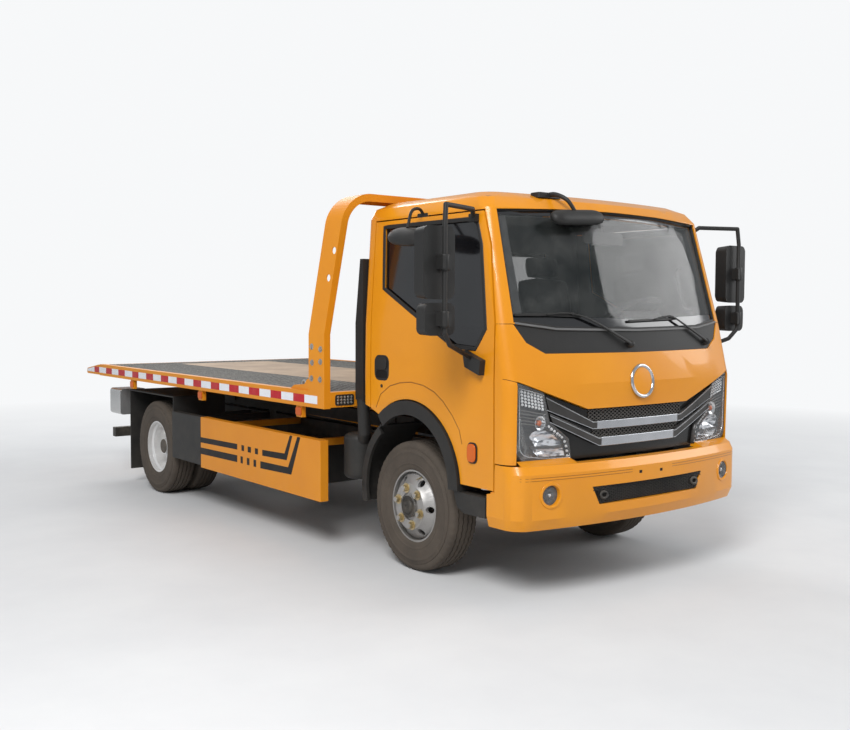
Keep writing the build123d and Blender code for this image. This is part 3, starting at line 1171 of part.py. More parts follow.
MARKER_Y = (F + 870.0, F + 2340.0, F + 3710.0)
with BuildPart() as side_rail_form:
    add(block((DECK_HALF - RAIL_C_WIDTH, DECK_HALF), (DECK_FRONT + ARM_DEPTH + SEAT_GAP, DECK_REAR),
              (RAIL_C_BOTTOM, RAIL_C_TOP)))
    add(block((DECK_HALF - RAIL_C_WIDTH - 1, DECK_HALF - RAIL_C_PLATE), (DECK_FRONT, DECK_REAR + 1),
              (RAIL_C_BOTTOM + RAIL_C_PLATE,
               DECK_TOP - 2 * DECK_PLATE - BEARER_HEIGHT - 5)), mode=Mode.SUBTRACT)
    for y in MARKER_Y:
        add(block((DECK_HALF - 42, DECK_HALF - 12), (y - 34, y + 34), (RAIL_C_BOTTOM - 76, RAIL_C_BOTTOM)))
with BuildPart() as side_rails:
    for side_name, side in SIDES:
        add(sided(side_rail_form.part, side))
side_rails.part.label = "side_rails"
export_step(side_rails.part, "parts/side_rails.step")

tail_outline = (
    (DECK_REAR + TAIL_GAP, RAIL_C_BOTTOM + 4), (DECK_REAR + TAIL_GAP, DECK_TOP), (DECK_REAR + 40, DECK_TOP),
    (TAIL_TIP - 10, RAIL_C_BOTTOM + 4 + TAIL_TIP_HEIGHT), (TAIL_TIP, RAIL_C_BOTTOM + 34),
    (TAIL_TIP, RAIL_C_BOTTOM + 16), (TAIL_TIP - 12, RAIL_C_BOTTOM + 4),
)
with BuildPart() as deck_tail:
    add(side_slab(tail_outline, -DECK_HALF, DECK_HALF))
    add(block((-DECK_HALF + 60, DECK_HALF - 60), (DECK_REAR + 40, TAIL_TIP - 120),
              (RAIL_C_BOTTOM, RAIL_C_BOTTOM + 40)), mode=Mode.SUBTRACT)
    for side_name, side in SIDES:
        x = side * TILT_X
        add(block((x - 40, x + 40), (DECK_REAR - 20 + SEAT_GAP, DECK_REAR + 60),
                  (RAIL_C_BOTTOM + 4, BEAM_TOP - 1)))
deck_tail.part.label = "deck_tail"
export_step(deck_tail.part, "parts/deck_tail.step")

# Headboard hoop: a channel bent over the cab's rear edge. Its side view, leaning
# forward above the knee, crosses its front view, a hoop with rounded corners.


def hoop_side(inset):
    """Side view of the hoop's channel, drawn in by inset at front and back."""
    front, back = DECK_FRONT + inset, DECK_FRONT + ARM_DEPTH - inset
    return side_slab(((front, RAIL_C_BOTTOM - 1), (front, ARM_KNEE), (front - HOOP_LEAN, HOOP_TOP + 10),
                      (back - HOOP_LEAN, HOOP_TOP + 10), (back, ARM_KNEE), (back, RAIL_C_BOTTOM - 1)),
                     -DECK_HALF - 10, DECK_HALF + 10)


def hoop_front(inset):
    """Front view of the hoop's outline, drawn in by inset, as a solid to the ground side."""
    half, top = DECK_HALF - inset, HOOP_TOP - inset
    with BuildPart() as hoop:
        with BuildSketch(Plane((0, F + 900, 0), x_dir=(1, 0, 0), z_dir=(0, -1, 0))):
            with BuildLine():
                Polyline((-half, RAIL_C_BOTTOM), (-half, ARM_KNEE), (-half + HOOP_INLEAN, top),
                         (half - HOOP_INLEAN, top),
                         (half, ARM_KNEE), (half, RAIL_C_BOTTOM), close=True)
            make_face()
            fillet(vertices().group_by(Axis.Y)[-1], HOOP_CORNER - inset)
        extrude(amount=900)
    return hoop.part


def arm_hole(side, y, z):
    """Cutter of a round hole, square to the arm's leaning web."""
    lean = HOOP_INLEAN / (HOOP_TOP - ARM_KNEE)
    x = side * (DECK_HALF - (z - ARM_KNEE) * lean)
    reach = 30.0
    return rod((x - side * reach, y, z - reach * lean), (x + side * reach, y, z + reach * lean), ARM_HOLE_R)


with BuildPart() as hoop_channel:
    add(hoop_side(ARM_PLATE))
    add(hoop_front(ARM_PLATE), mode=Mode.INTERSECT)
with BuildPart() as hoop:
    add(hoop_side(0))
    add(hoop_front(0), mode=Mode.INTERSECT)
    add(hoop_front(ARM_FLANGE), mode=Mode.SUBTRACT)
    add(hoop_channel.part, mode=Mode.SUBTRACT)
    for side_name, side in SIDES:
        for y, z in ARM_HOLES:
            add(arm_hole(side, y, z), mode=Mode.SUBTRACT)
with BuildPart() as headboard_arms:
    add(hoop.part)
    add(block((-HOOP_SPLIT, HOOP_SPLIT), (F, F + 900), (900, 2400)), mode=Mode.SUBTRACT)
headboard_arms.part.label = "headboard_arms"
export_step(headboard_arms.part, "parts/headboard_arms.step")

FRONT_BEAM_HALF = DECK_HALF - ARM_FLANGE - SEAT_GAP
with BuildPart() as headboard_bars:
    add(hoop.part)
    add(block((-HOOP_SPLIT + SEAT_GAP, HOOP_SPLIT - SEAT_GAP), (F, F + 900), (900, 2400)),
        mode=Mode.INTERSECT)
    add(block((-FRONT_BEAM_HALF, FRONT_BEAM_HALF), (DECK_FRONT, DECK_FRONT + 49),
              (RAIL_C_BOTTOM + 6, RAIL_C_TOP)))
headboard_bars.part.label = "headboard_bars"
export_step(headboard_bars.part, "parts/headboard_bars.step")

# Winch behind the headboard
WINCH_Y = F + 820.0
WINCH_Z = DECK_TOP + 150.0
DRUM_HALF = 130.0
with BuildPart() as winch_frame:
    add(block((-210, 210), (WINCH_Y - 150, WINCH_Y + 150), (DECK_TOP + SEAT_GAP, DECK_TOP + 14)))
    for side_name, side in SIDES:
        low = side * (DRUM_HALF + 6)
        high = side * (DRUM_HALF + 22)
        add(side_slab(((WINCH_Y - 120, DECK_TOP + 10), (WINCH_Y + 120, DECK_TOP + 10),
                       (WINCH_Y + 70, WINCH_Z + 110), (WINCH_Y - 70, WINCH_Z + 110)),
                      min(low, high), max(low, high)))
    add(rod((DRUM_HALF + 20, WINCH_Y, WINCH_Z), (DRUM_HALF + 190, WINCH_Y, WINCH_Z), 72))
    add(block((-DRUM_HALF - 20, DRUM_HALF + 20), (WINCH_Y - 70, WINCH_Y - 50),
              (WINCH_Z + 96, WINCH_Z + 108)))
    add(rod((-DRUM_HALF - 30, WINCH_Y, WINCH_Z), (DRUM_HALF + 30, WINCH_Y, WINCH_Z), 20))
winch_frame.part.label = "winch_frame"
export_step(winch_frame.part, "parts/winch_frame.step")

with BuildPart() as winch_drum:
    add(rod((-DRUM_HALF, WINCH_Y, WINCH_Z), (DRUM_HALF, WINCH_Y, WINCH_Z), 58))
    for side_name, side in SIDES:
        x = side * (DRUM_HALF - 6)
        add(rod((x - 6, WINCH_Y, WINCH_Z), (x + 6, WINCH_Y, WINCH_Z), 86))
    add(rod((-DRUM_HALF - 5, WINCH_Y, WINCH_Z), (DRUM_HALF + 5, WINCH_Y, WINCH_Z), 20 + RUN_CLEARANCE),
        mode=Mode.SUBTRACT)
winch_drum.part.label = "winch_drum"
export_step(winch_drum.part, "parts/winch_drum.step")
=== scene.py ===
import bpy
import bmesh
import math
from mathutils import Matrix, Vector
from mathutils.bvhtree import BVHTree


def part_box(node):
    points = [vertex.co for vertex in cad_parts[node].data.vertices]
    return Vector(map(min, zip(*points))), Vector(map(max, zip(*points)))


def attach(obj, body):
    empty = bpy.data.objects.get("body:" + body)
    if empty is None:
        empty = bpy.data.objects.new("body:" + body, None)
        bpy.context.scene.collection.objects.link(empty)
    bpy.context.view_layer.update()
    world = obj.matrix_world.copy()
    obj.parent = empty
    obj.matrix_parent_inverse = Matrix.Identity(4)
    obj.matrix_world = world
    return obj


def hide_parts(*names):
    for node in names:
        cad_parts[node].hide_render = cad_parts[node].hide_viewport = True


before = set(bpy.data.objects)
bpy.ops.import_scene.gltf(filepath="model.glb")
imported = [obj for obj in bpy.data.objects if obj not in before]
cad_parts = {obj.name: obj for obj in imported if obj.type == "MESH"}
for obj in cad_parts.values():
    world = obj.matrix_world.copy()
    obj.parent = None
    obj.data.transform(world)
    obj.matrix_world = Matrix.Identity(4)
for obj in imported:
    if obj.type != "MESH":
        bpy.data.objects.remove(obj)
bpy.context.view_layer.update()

MM = 0.001
F = -1860.0  # station of the front axle
REAR = 1500.0  # station of the rear axle
AXLE_Z = 388.0
SIDES = (("right", -1), ("left", 1))


# Finishes

class Flow:
    """A number that runs through a finish; sums on it add Math nodes."""

    def __init__(self, paint, socket):
        self.paint = paint
        self.socket = socket

    def _math(self, operation, first, second=None):
        values = {0: first} if second is None else {0: first, 1: second}
        return self.paint.add("ShaderNodeMath", {"operation": operation}, values)

    def __add__(self, other):
        return self._math("ADD", self, other)

    def __radd__(self, other):
        return self._math("ADD", other, self)

    def __sub__(self, other):
        return self._math("SUBTRACT", self, other)

    def __rsub__(self, other):
        return self._math("SUBTRACT", other, self)

    def __mul__(self, other):
        return self._math("MULTIPLY", self, other)

    def __rmul__(self, other):
        return self._math("MULTIPLY", other, self)

    def __truediv__(self, other):
        return self._math("DIVIDE", self, other)

    def __rtruediv__(self, other):
        return self._math("DIVIDE", other, self)

    def __neg__(self):
        return self._math("MULTIPLY", self, -1.0)

    def __gt__(self, other):
        return self._math("GREATER_THAN", self, other)

    def __lt__(self, other):
        return self._math("LESS_THAN", self, other)

    def __mod__(self, other):
        return self._math("FLOORED_MODULO", self, other)

    def __abs__(self):
        return self._math("ABSOLUTE", self)

    def most(self, other):
        return self._math("MAXIMUM", self, other)

    def least(self, other):
        return self._math("MINIMUM", self, other)

    def wave(self):
        return self._math("SINE", self)

    def root(self):
        return self._math("SQRT", self)

    def whole(self):
        return self._math("FLOOR", self)

    def rise(self, low, high):
        """0 below low, 1 above high, a straight line between."""
        scale = 1.0 / (high - low)
        return self.paint.add("ShaderNodeMath", {"operation": "MULTIPLY_ADD", "use_clamp": True},
                              {0: self, 1: scale, 2: -low * scale})


class Nodes:
    """A tree of nodes, of a finish, of a repeated shape or of the backdrop."""

    def add(self, kind, settings=None, values=None, output=None):
        """A node of a kind, its settings, and the values or links of its sockets; a list gives several links."""
        node = self.tree.nodes.new(kind)
        for key, value in (settings or {}).items():
            setattr(node, key, value)
        for key, value in (values or {}).items():
            if isinstance(value, (Flow, list)):
                for flow in value if isinstance(value, list) else [value]:
                    self.tree.links.new(flow.socket, node.inputs[key])
            else:
                node.inputs[key].default_value = value
        if output is not None:
            return Flow(self, node.outputs[output])
        open_sockets = [socket for socket in node.outputs if socket.enabled]
        return Flow(self, open_sockets[0]) if open_sockets else node

    def parts(self, vector):
        """The three parts of a vector."""
        first = self.add("ShaderNodeSeparateXYZ", None, {"Vector": vector})
        return [Flow(self, output) for output in first.socket.node.outputs]

    def seen_straight(self):
        """1 where the eye looks straight at a place or through glass, 0 in reflections and bounced light."""
        path = self.add("ShaderNodeLightPath").socket.node
        return Flow(self, path.outputs["Is Camera Ray"]).most(Flow(self, path.outputs["Is Transmission Ray"]))


class Paint(Nodes):
    """One finish: a shader whose colour, roughness and relief come from nodes."""

    def __init__(self, name, **steady):
        self.material = bpy.data.materials.new(name)
        self.material.use_nodes = True
        self.tree = self.material.node_tree
        self.tree.nodes.clear()
        values = {key.replace("_", " "): value for key, value in steady.items()}
        self.surface = self.add("ShaderNodeBsdfPrincipled", None, values)
        self.shader = self.surface.socket.node
        self.out = self.add("ShaderNodeOutputMaterial", None, {"Surface": self.surface})

    def feed(self, socket, flow):
        self.tree.links.new(flow.socket, self.shader.inputs[socket])

    def fed(self, socket):
        """What already runs into a socket of the shader."""
        return Flow(self, self.shader.inputs[socket].links[0].from_socket)

    def point(self):
        return self.add("ShaderNodeTexCoord", output="Object")

    def axes(self):
        """The three parts of a place on the piece, in metres."""
        return self.parts(self.point())

    def noise(self, scale, detail, rough, stretch=None):
        where = self.point()
        if stretch:
            where = self.add("ShaderNodeMapping", None, {"Vector": where, "Scale": stretch})
        return self.add("ShaderNodeTexNoise", None,
                        {"Vector": where, "Scale": scale, "Detail": detail, "Roughness": rough})

    def cell_edges(self, scale):
        """Distance from the edges of small cells."""
        return self.add("ShaderNodeTexVoronoi", {"feature": "DISTANCE_TO_EDGE"},
                        {"Vector": self.point(), "Scale": scale})

    def mix(self, factor, first, second):
        """Two colours mixed; a steady colour is a plain triple."""
        first, second = [colour if isinstance(colour, Flow) else (*colour, 1.0) for colour in (first, second)]
        return self.add("ShaderNodeMix", {"data_type": "RGBA"}, {0: factor, 6: first, 7: second})

    def facing_up(self):
        return self.parts(self.add("ShaderNodeNewGeometry", output="Normal"))[2]

    def relief(self, height, strength, distance):
        self.feed("Normal", self.add("ShaderNodeBump", None,
                                     {"Height": height, "Strength": strength, "Distance": distance}))


DUST = (0.30, 0.255, 0.20)


class Recipe(Nodes):
    """A repeated shape, grown from named sizes."""

    def __init__(self, name, sizes):
        self.tree = bpy.data.node_groups.new(name, "GeometryNodeTree")
        sockets = self.tree.interface
        sockets.new_socket("Geometry", in_out="OUTPUT", socket_type="NodeSocketGeometry")
        sockets.new_socket("Geometry", in_out="INPUT", socket_type="NodeSocketGeometry")
        self.keys = {label: sockets.new_socket(label, in_out="INPUT", socket_type="NodeSocketFloat").identifier
                     for label in sizes}
        self.sizes = sizes
        self.given = self.add("NodeGroupInput").socket.node

    def take(self, label):
        return Flow(self, self.given.outputs[label])

    def grow(self, name, shape, finish, seeds=None):
        """Run the tree on a mesh of seed points and keep the result as a plain mesh."""
        plain = self.add("GeometryNodeRealizeInstances", None, {"Geometry": shape})
        coated = self.add("GeometryNodeSetMaterial", None, {"Geometry": plain, "Material": finishes[finish]})
        self.add("NodeGroupOutput", None, {0: coated})
        base = seeds or mesh_piece(name + "_seed", [(0, 0, 0)], [])
        grown = base.modifiers.new("grown", "NODES")
        grown.node_group = self.tree
        for label, key in self.keys.items():
            grown[key] = self.sizes[label]
        graph = bpy.context.evaluated_depsgraph_get()
        mesh = bpy.data.meshes.new_from_object(base.evaluated_get(graph))
        bpy.data.objects.remove(base)
        return object_of(name, mesh)


def worn(paint, light, dark, smooth, rough, grain, relief, dust, top_dust, streak=None):
    """Colour in broad and fine patches, road dust low down and on top faces, and a fine grain."""
    broad = paint.noise(1.7, 4.0, 0.55)
    fine = paint.noise(grain, 5.0, 0.6, streak)
    tone = (broad * 0.7 + fine * 0.3).rise(0.32, 0.68)
    colour = paint.mix(tone, light, dark)
    height = paint.axes()[2]
    low = (1.0 - height.rise(0.15, 1.15)) * paint.noise(9.0, 6.0, 0.65).rise(0.30, 0.72) * dust
    top = paint.facing_up().rise(0.55, 1.0) * paint.noise(3.1, 6.0, 0.6).rise(0.35, 0.75) * top_dust
    cover = (low + top).least(0.9)
    paint.feed("Base Color", paint.mix(cover, colour, DUST))
    paint.feed("Roughness", (fine * (rough - smooth) + smooth + cover * 0.35).least(0.95))
    paint.relief(fine, relief, 0.0006)
    return paint.material


def inner_faces(paint):
    """1 on the cab's inner faces: a wall's depth in from the sides, the front, the back and the roof."""
    x, y, z = paint.axes()
    half = 0.940 - z.rise(1.16, 1.47) * 0.004 - z.rise(1.47, 2.11) * 0.040 - z.rise(2.11, 2.17) * 0.030
    nose = z.rise(1.16, 1.47) * 0.039 + z.rise(1.47, 2.11) * 0.180 + z.rise(2.11, 2.17) * 0.054 - 2.861
    bow = (x / 0.94) * (x / 0.94) * 0.10
    within = (abs(x) < (half - 0.032)) * (y > (nose + bow + 0.034)) * (y < -1.462)
    return within * (z < 2.176) * (z > 0.62)


def lacquer(name, light, dark, dust, coat, lined=False, smooth=0.24, rough=0.36):
    """Sprayed colour under a clear coat; the cab's inner faces are bare grey lining."""
    paint = Paint(name, Coat_Roughness=0.06, Specular_IOR_Level=0.30)
    worn(paint, light, dark, smooth, rough, 240.0, 0.05, dust, dust * 0.8)
    if lined:
        inside = inner_faces(paint)
        paint.feed("Base Color", paint.mix(inside, paint.fed("Base Color"), (0.125, 0.126, 0.130)))
        paint.feed("Roughness", paint.fed("Roughness") + inside * 0.42)
        paint.feed("Coat Weight", (1.0 - inside) * coat)
    else:
        paint.shader.inputs["Coat Weight"].default_value = coat
    return paint.material


def flake_metal(name, light, dark, smooth, rough, metallic, dust, grain=90.0, streak=None, relief=0.1):
    paint = Paint(name, Metallic=metallic)
    return worn(paint, light, dark, smooth, rough, grain, relief, dust, dust, streak)


def bar_metal(name):
    """Grille bars: bright in the middle, dark smoked metal on the arms."""
    paint = Paint(name, Metallic=0.9)
    x, y, z = paint.axes()
    arm = (abs(x) - z.rise(0.86, 0.90) * 0.036).rise(0.304, 0.309)
    soft = paint.noise(5.0, 4.0, 0.5)
    bright = paint.mix(soft, (0.50, 0.51, 0.53), (0.36, 0.37, 0.39))
    smoked = paint.mix(soft.rise(0.3, 0.7), (0.060, 0.057, 0.054), (0.095, 0.090, 0.086))
    paint.feed("Base Color", paint.mix(arm, bright, smoked))
    paint.feed("Roughness", soft * 0.08 + arm * 0.10 + 0.14)
    return paint.material


def plastic(name, light, dark, smooth, rough, dust, grain=420.0, relief=0.25, shine=0.32):
    return worn(Paint(name, Specular_IOR_Level=shine), light, dark, smooth, rough, grain, relief, dust, dust)


def glass(name, tint, clear, border):
    """Clear glass with a fine film of dust, and a black printed border."""
    paint = Paint(name, IOR=1.75)
    film = paint.noise(6.0, 6.0, 0.6).rise(0.35, 0.8)
    colour = paint.mix(film * 0.5, tint, (0.16, 0.16, 0.15))
    alpha = film * 0.06 + clear
    rough = film * 0.08 + 0.02
    if border:
        edge = border(paint)
        colour = paint.mix(edge, colour, (0.006, 0.006, 0.007))
        alpha = alpha.most(edge)
        rough = rough + edge * 0.06
    paint.feed("Base Color", colour)
    paint.feed("Alpha", alpha)
    paint.feed("Roughness", rough)
    return paint.material


def screen_border(paint):
    """Black print round the windscreen and the rear window, wider along the foot."""
    x, y, z = paint.axes()
    side = abs(x)
    front = y < -1.9
    foot = z < (side * 0.03 + 1.507)
    head = z > (2.085 - side * 0.018)
    flank = side > (0.925 - z * 0.0448 + 0.033)
    rear = (side > 0.575) + (z < 1.517) + (z > 1.925)
    return ((foot + head + flank) * front + rear * (1.0 - front)).least(1.0)


def fabric(name, light, dark):
    paint = Paint(name, Sheen_Weight=0.35, Sheen_Roughness=0.5)
    x, y, z = paint.axes()
    warp = (x * 2600.0).wave()
    weft = ((z + y) * 2600.0).wave()
    weave = (warp * weft).rise(-1.0, 1.0)
    broad = paint.noise(4.0, 4.0, 0.6)
    paint.feed("Base Color", paint.mix((broad * 0.6 + weave * 0.4).rise(0.25, 0.8), light, dark))
    paint.feed("Roughness", weave * 0.1 + 0.82)
    paint.relief(weave, 0.3, 0.0004)
    return paint.material


def rubber(name):
    """Tyre rubber, brown with road dust on the tread and on raised rings."""
    paint = Paint(name, Specular_IOR_Level=0.25)
    dirt = paint.noise(6.0, 7.0, 0.65).rise(0.25, 0.8)
    fine = paint.noise(180.0, 5.0, 0.6)
    colour = paint.mix(dirt, (0.060, 0.049, 0.040), (0.098, 0.079, 0.062))
    paint.feed("Base Color", paint.mix(fine.rise(0.5, 0.85) * 0.35, colour, (0.125, 0.102, 0.082)))
    paint.feed("Roughness", fine * 0.15 + dirt * 0.1 + 0.70)
    paint.relief(fine, 0.35, 0.0006)
    return paint.material


def reflector(name):
    """Polished reflector pressed in flutes; its bright and dark bands side by side are painted reflections."""
    paint = Paint(name, Metallic=0.55)
    painted_reflection_bands = paint.noise(24.0, 2.0, 0.45, (1.0, 1.0, 3.0)).rise(0.40, 0.54)
    fine = paint.noise(90.0, 3.0, 0.5)
    paint.feed("Base Color", paint.mix(painted_reflection_bands, (0.13, 0.14, 0.16), (0.94, 0.96, 0.99)))
    paint.feed("Roughness", fine * 0.08 + 0.10)
    return paint.material


def tape(name, light, dark):
    """Reflecting tape: small cells under a clear face, a little grime."""
    paint = Paint(name, Coat_Weight=0.12, Coat_Roughness=0.12, Specular_IOR_Level=0.22)
    cell = paint.cell_edges(260.0).rise(0.02, 0.12)
    grime = paint.noise(7.0, 6.0, 0.65).rise(0.45, 0.85) * 0.18
    paint.feed("Base Color", paint.mix(grime, paint.mix(cell, dark, light), DUST))
    paint.feed("Roughness", grime * 0.4 + 0.22)
    paint.relief(cell, 0.15, 0.0003)
    return paint.material


def deck_sheet(name):
    """Deck plate: dark dusty chequer with a smooth tan run down the middle."""
    paint = Paint(name, Metallic=0.15)
    x, y, z = paint.axes()
    track = (1.0 - abs(x).rise(0.462, 0.474)) * (1.0 - y.rise(2.356, 2.368))
    dirt = paint.noise(3.0, 7.0, 0.62).rise(0.3, 0.72)
    fine = paint.noise(70.0, 6.0, 0.65)
    speckle = paint.noise(46.0, 3.0, 0.5).rise(0.44, 0.58)
    steel = paint.mix(dirt, (0.054, 0.053, 0.049), (0.135, 0.124, 0.106))
    steel = paint.mix(speckle * 0.6, steel, (0.215, 0.205, 0.185))
    tan = paint.mix((dirt * 0.6 + fine * 0.4).rise(0.3, 0.8), (0.385, 0.262, 0.160), (0.262, 0.185, 0.122))
    paint.feed("Base Color", paint.mix(track, steel, tan))
    paint.feed("Roughness", fine * 0.2 + dirt * 0.12 + 0.5)
    paint.relief(fine, 0.25, 0.0008)
    return paint.material


# Every finish: its name, its maker, then the maker's values, light and dark colour first
FINISHES = (
    ("cab_paint", lacquer, (0.70, 0.270, 0.007), (0.63, 0.225, 0.006), 0.03, 0.28, True),
    ("body_paint", lacquer, (0.70, 0.262, 0.008), (0.62, 0.212, 0.007), 0.06, 0.04, False, 0.40, 0.52),
    # The darker amber finish below is painted shade, laid along the creases of the bumper and the doors
    ("amber_shade", lacquer, (0.30, 0.105, 0.004), (0.24, 0.082, 0.003), 0.03, 0.20),
    ("frame_paint", plastic, (0.012, 0.012, 0.012), (0.022, 0.020, 0.018), 0.38, 0.6, 0.32, 120.0, 0.1),
    ("axle_iron", flake_metal, (0.050, 0.047, 0.044), (0.10, 0.085, 0.07), 0.45, 0.75, 0.5, 0.5),
    ("spring_steel", flake_metal, (0.045, 0.042, 0.04), (0.11, 0.075, 0.05), 0.45, 0.7, 0.5, 0.4),
    ("engine_iron", flake_metal, (0.10, 0.105, 0.11), (0.06, 0.06, 0.06), 0.5, 0.7, 0.6, 0.3),
    ("tank_alloy", flake_metal, (0.62, 0.62, 0.61), (0.45, 0.45, 0.44), 0.28, 0.5, 0.9, 0.3, 60.0, (1.0, 12.0,
     1.0)),
    ("exhaust_steel", flake_metal, (0.32, 0.27, 0.22), (0.16, 0.12, 0.09), 0.4, 0.7, 0.8, 0.4),
    ("black_plastic", plastic, (0.013, 0.0128, 0.0125), (0.022, 0.021, 0.020), 0.42, 0.62, 0.10),
    ("gloss_black", plastic, (0.005, 0.005, 0.005), (0.009, 0.009, 0.009), 0.14, 0.26, 0.05, 60.0, 0.02),
    ("trim_grey", plastic, (0.150, 0.148, 0.146), (0.105, 0.104, 0.103), 0.5, 0.7, 0.03),
    ("floor_mat", plastic, (0.040, 0.039, 0.038), (0.065, 0.060, 0.055), 0.7, 0.9, 0.1, 260.0, 0.4),
    ("seat_fabric", fabric, (0.050, 0.050, 0.054), (0.026, 0.026, 0.028)),
    ("window_glass", glass, (0.012, 0.016, 0.016), 0.30, screen_border),
    ("lamp_glass", glass, (0.30, 0.31, 0.32), 0.13, None),
    ("chrome_trim", flake_metal, (0.62, 0.63, 0.65), (0.50, 0.51, 0.53), 0.10, 0.20, 1.0, 0.08, 30.0, None, 0.02),
    ("bar_metal", bar_metal),
    ("lamp_box_steel", flake_metal, (0.66, 0.66, 0.66), (0.46, 0.46, 0.45), 0.14, 0.30, 0.72, 0.15, 40.0, (1.0,
     1.0, 14.0)),
    ("tyre_rubber", rubber),
    # The front and rear rims are one steel: the next finish is darkened as painted shade for the front rims, and the
    # one after it lightened as painted light for the rear rims
    ("rim_steel", flake_metal, (0.40, 0.395, 0.39), (0.28, 0.27, 0.26), 0.32, 0.50, 0.65, 0.30, 120.0),
    ("rim_silver", flake_metal, (0.84, 0.835, 0.83), (0.66, 0.65, 0.64), 0.22, 0.38, 0.50, 0.08, 120.0),
    ("deck_steel", deck_sheet),
    ("tape_white", tape, (0.78, 0.79, 0.82), (0.65, 0.66, 0.70)),
    ("tape_red", tape, (0.49, 0.005, 0.016), (0.35, 0.003, 0.010)),
    ("film_black", plastic, (0.006, 0.006, 0.007), (0.012, 0.0115, 0.011), 0.34, 0.46, 0.06, 30.0, 0.03, 0.14),
    ("amber_lens", plastic, (0.62, 0.125, 0.010), (0.45, 0.075, 0.006), 0.08, 0.18, 0.05, 260.0, 0.2),
    ("red_lens", plastic, (0.50, 0.010, 0.008), (0.32, 0.006, 0.005), 0.08, 0.18, 0.08, 260.0, 0.2),
    ("pale_lens", plastic, (0.80, 0.81, 0.82), (0.62, 0.63, 0.64), 0.06, 0.14, 0.03, 300.0, 0.2),
    ("lamp_mirror", flake_metal, (0.86, 0.87, 0.88), (0.70, 0.71, 0.72), 0.10, 0.20, 0.9, 0.02, 30.0),
    ("lattice_grey", plastic, (0.17, 0.16, 0.15), (0.11, 0.10, 0.095), 0.35, 0.5, 0.1, 90.0, 0.05),
    ("lattice_black", plastic, (0.085, 0.078, 0.070), (0.052, 0.048, 0.043), 0.35, 0.5, 0.05, 90.0, 0.05),
    ("lamp_grey", plastic, (0.085, 0.083, 0.082), (0.055, 0.054, 0.053), 0.22, 0.34, 0.02, 90.0, 0.05),
    ("bowl_mirror", reflector),
    ("mirror_glass", flake_metal, (0.82, 0.84, 0.86), (0.76, 0.78, 0.80), 0.02, 0.06, 1.0, 0.04, 12.0),
    ("bolt_zinc", flake_metal, (0.55, 0.55, 0.54), (0.36, 0.35, 0.33), 0.30, 0.50, 0.9, 0.2, 200.0),
    ("nut_gold", flake_metal, (0.58, 0.47, 0.27), (0.42, 0.34, 0.20), 0.28, 0.46, 0.9, 0.15, 200.0),
    ("rope_steel", flake_metal, (0.30, 0.29, 0.28), (0.16, 0.15, 0.14), 0.35, 0.6, 0.8, 0.2, 160.0),
    ("rod_chrome", flake_metal, (0.70, 0.70, 0.71), (0.60, 0.60, 0.61), 0.08, 0.18, 1.0, 0.05, 40.0, None, 0.02),
    ("winch_steel", flake_metal, (0.06, 0.06, 0.062), (0.11, 0.09, 0.07), 0.4, 0.65, 0.4, 0.3),
)
finishes = {name: make(name, *look) for name, make, *look in FINISHES}


# Making and placing pieces; outlines are in millimetres

def object_of(name, data):
    piece = bpy.data.objects.new(name, data)
    bpy.context.scene.collection.objects.link(piece)
    return piece


def mesh_piece(name, points, faces):
    mesh = bpy.data.meshes.new(name)
    mesh.from_pydata([tuple(c * MM for c in p) for p in points], [], faces)
    return object_of(name, mesh)


def opened(piece):
    """A piece's mesh, ready to be edited."""
    shape = bmesh.new()
    shape.from_mesh(piece.data)
    return shape


def written(piece, shape):
    """Put an edited shape back into its piece."""
    shape.to_mesh(piece.data)
    shape.free()
    return piece


def tidy(piece):
    """Merge doubles and turn the faces outwards."""
    shape = opened(piece)
    bmesh.ops.remove_doubles(shape, verts=shape.verts, dist=0.00002)
    bmesh.ops.recalc_face_normals(shape, faces=shape.faces)
    return written(piece, shape)


def copy_of(node, name):
    """A copy of a solid piece and its open shape, doubles merged."""
    piece = object_of(name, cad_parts[node].data.copy())
    shape = opened(piece)
    bmesh.ops.remove_doubles(shape, verts=shape.verts, dist=0.00001)
    return piece, shape


def place(piece, body, slot, bevel=0.0, angle=35.0, segments=2, finish=None, stands_for=()):
    """Finish a piece: material, rounded edges, smooth shading, and the body it rides on."""
    piece.data.materials.clear()
    piece.data.materials.append(finishes[finish or slot])
    piece.data.polygons.foreach_set("use_smooth", [True] * len(piece.data.polygons))
    piece.data.set_sharp_from_angle(angle=math.radians(angle))
    if bevel:
        edge = piece.modifiers.new("rounded edges", "BEVEL")
        edge.width = bevel * MM
        edge.segments = segments
        edge.limit_method = "ANGLE"
        edge.angle_limit = math.radians(angle)
        edge.use_clamp_overlap = True
        edge.harden_normals = True
    if stands_for:
        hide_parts(*stands_for)
    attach(piece, body)
    return piece


def dress(node, body, slot, bevel, finish):
    """A finished copy of a solid piece: flat faces joined up, edges rounded."""
    piece, shape = copy_of(node, node + "_finished")
    bmesh.ops.dissolve_limit(shape, angle_limit=math.radians(0.4), verts=shape.verts, edges=shape.edges)
    return place(written(piece, shape), body, slot, bevel, 30.0, finish=finish, stands_for=(node,))


def slab(name, outline, axis, low, high):
    """Prism of an outline: along x it lists (y, z), along y (x, z), along z (x, y)."""
    order = {"x": lambda a, b, c: (c, a, b), "y": lambda a, b, c: (a, c, b), "z": lambda a, b, c: (a, b, c)}[axis]
    count = len(outline)
    points = [order(a, b, c) for c in sorted((low, high)) for a, b in outline]
    faces = [tuple(range(count)), tuple(range(count, 2 * count))]
    faces += [(i, (i + 1) % count, (i + 1) % count + count, i + count) for i in range(count)]
    return tidy(mesh_piece(name, points, faces))


def joined(name, parts):
    """Several raw pieces as one mesh."""
    shape = bmesh.new()
    for part in parts:
        data = part.data
        shape.from_mesh(data)
        bpy.data.objects.remove(part)
        bpy.data.meshes.remove(data)
    return written(object_of(name, bpy.data.meshes.new(name)), shape)


def circle(steps):
    """Angles of one full turn."""
    return [2 * math.pi * k / steps for k in range(steps)]


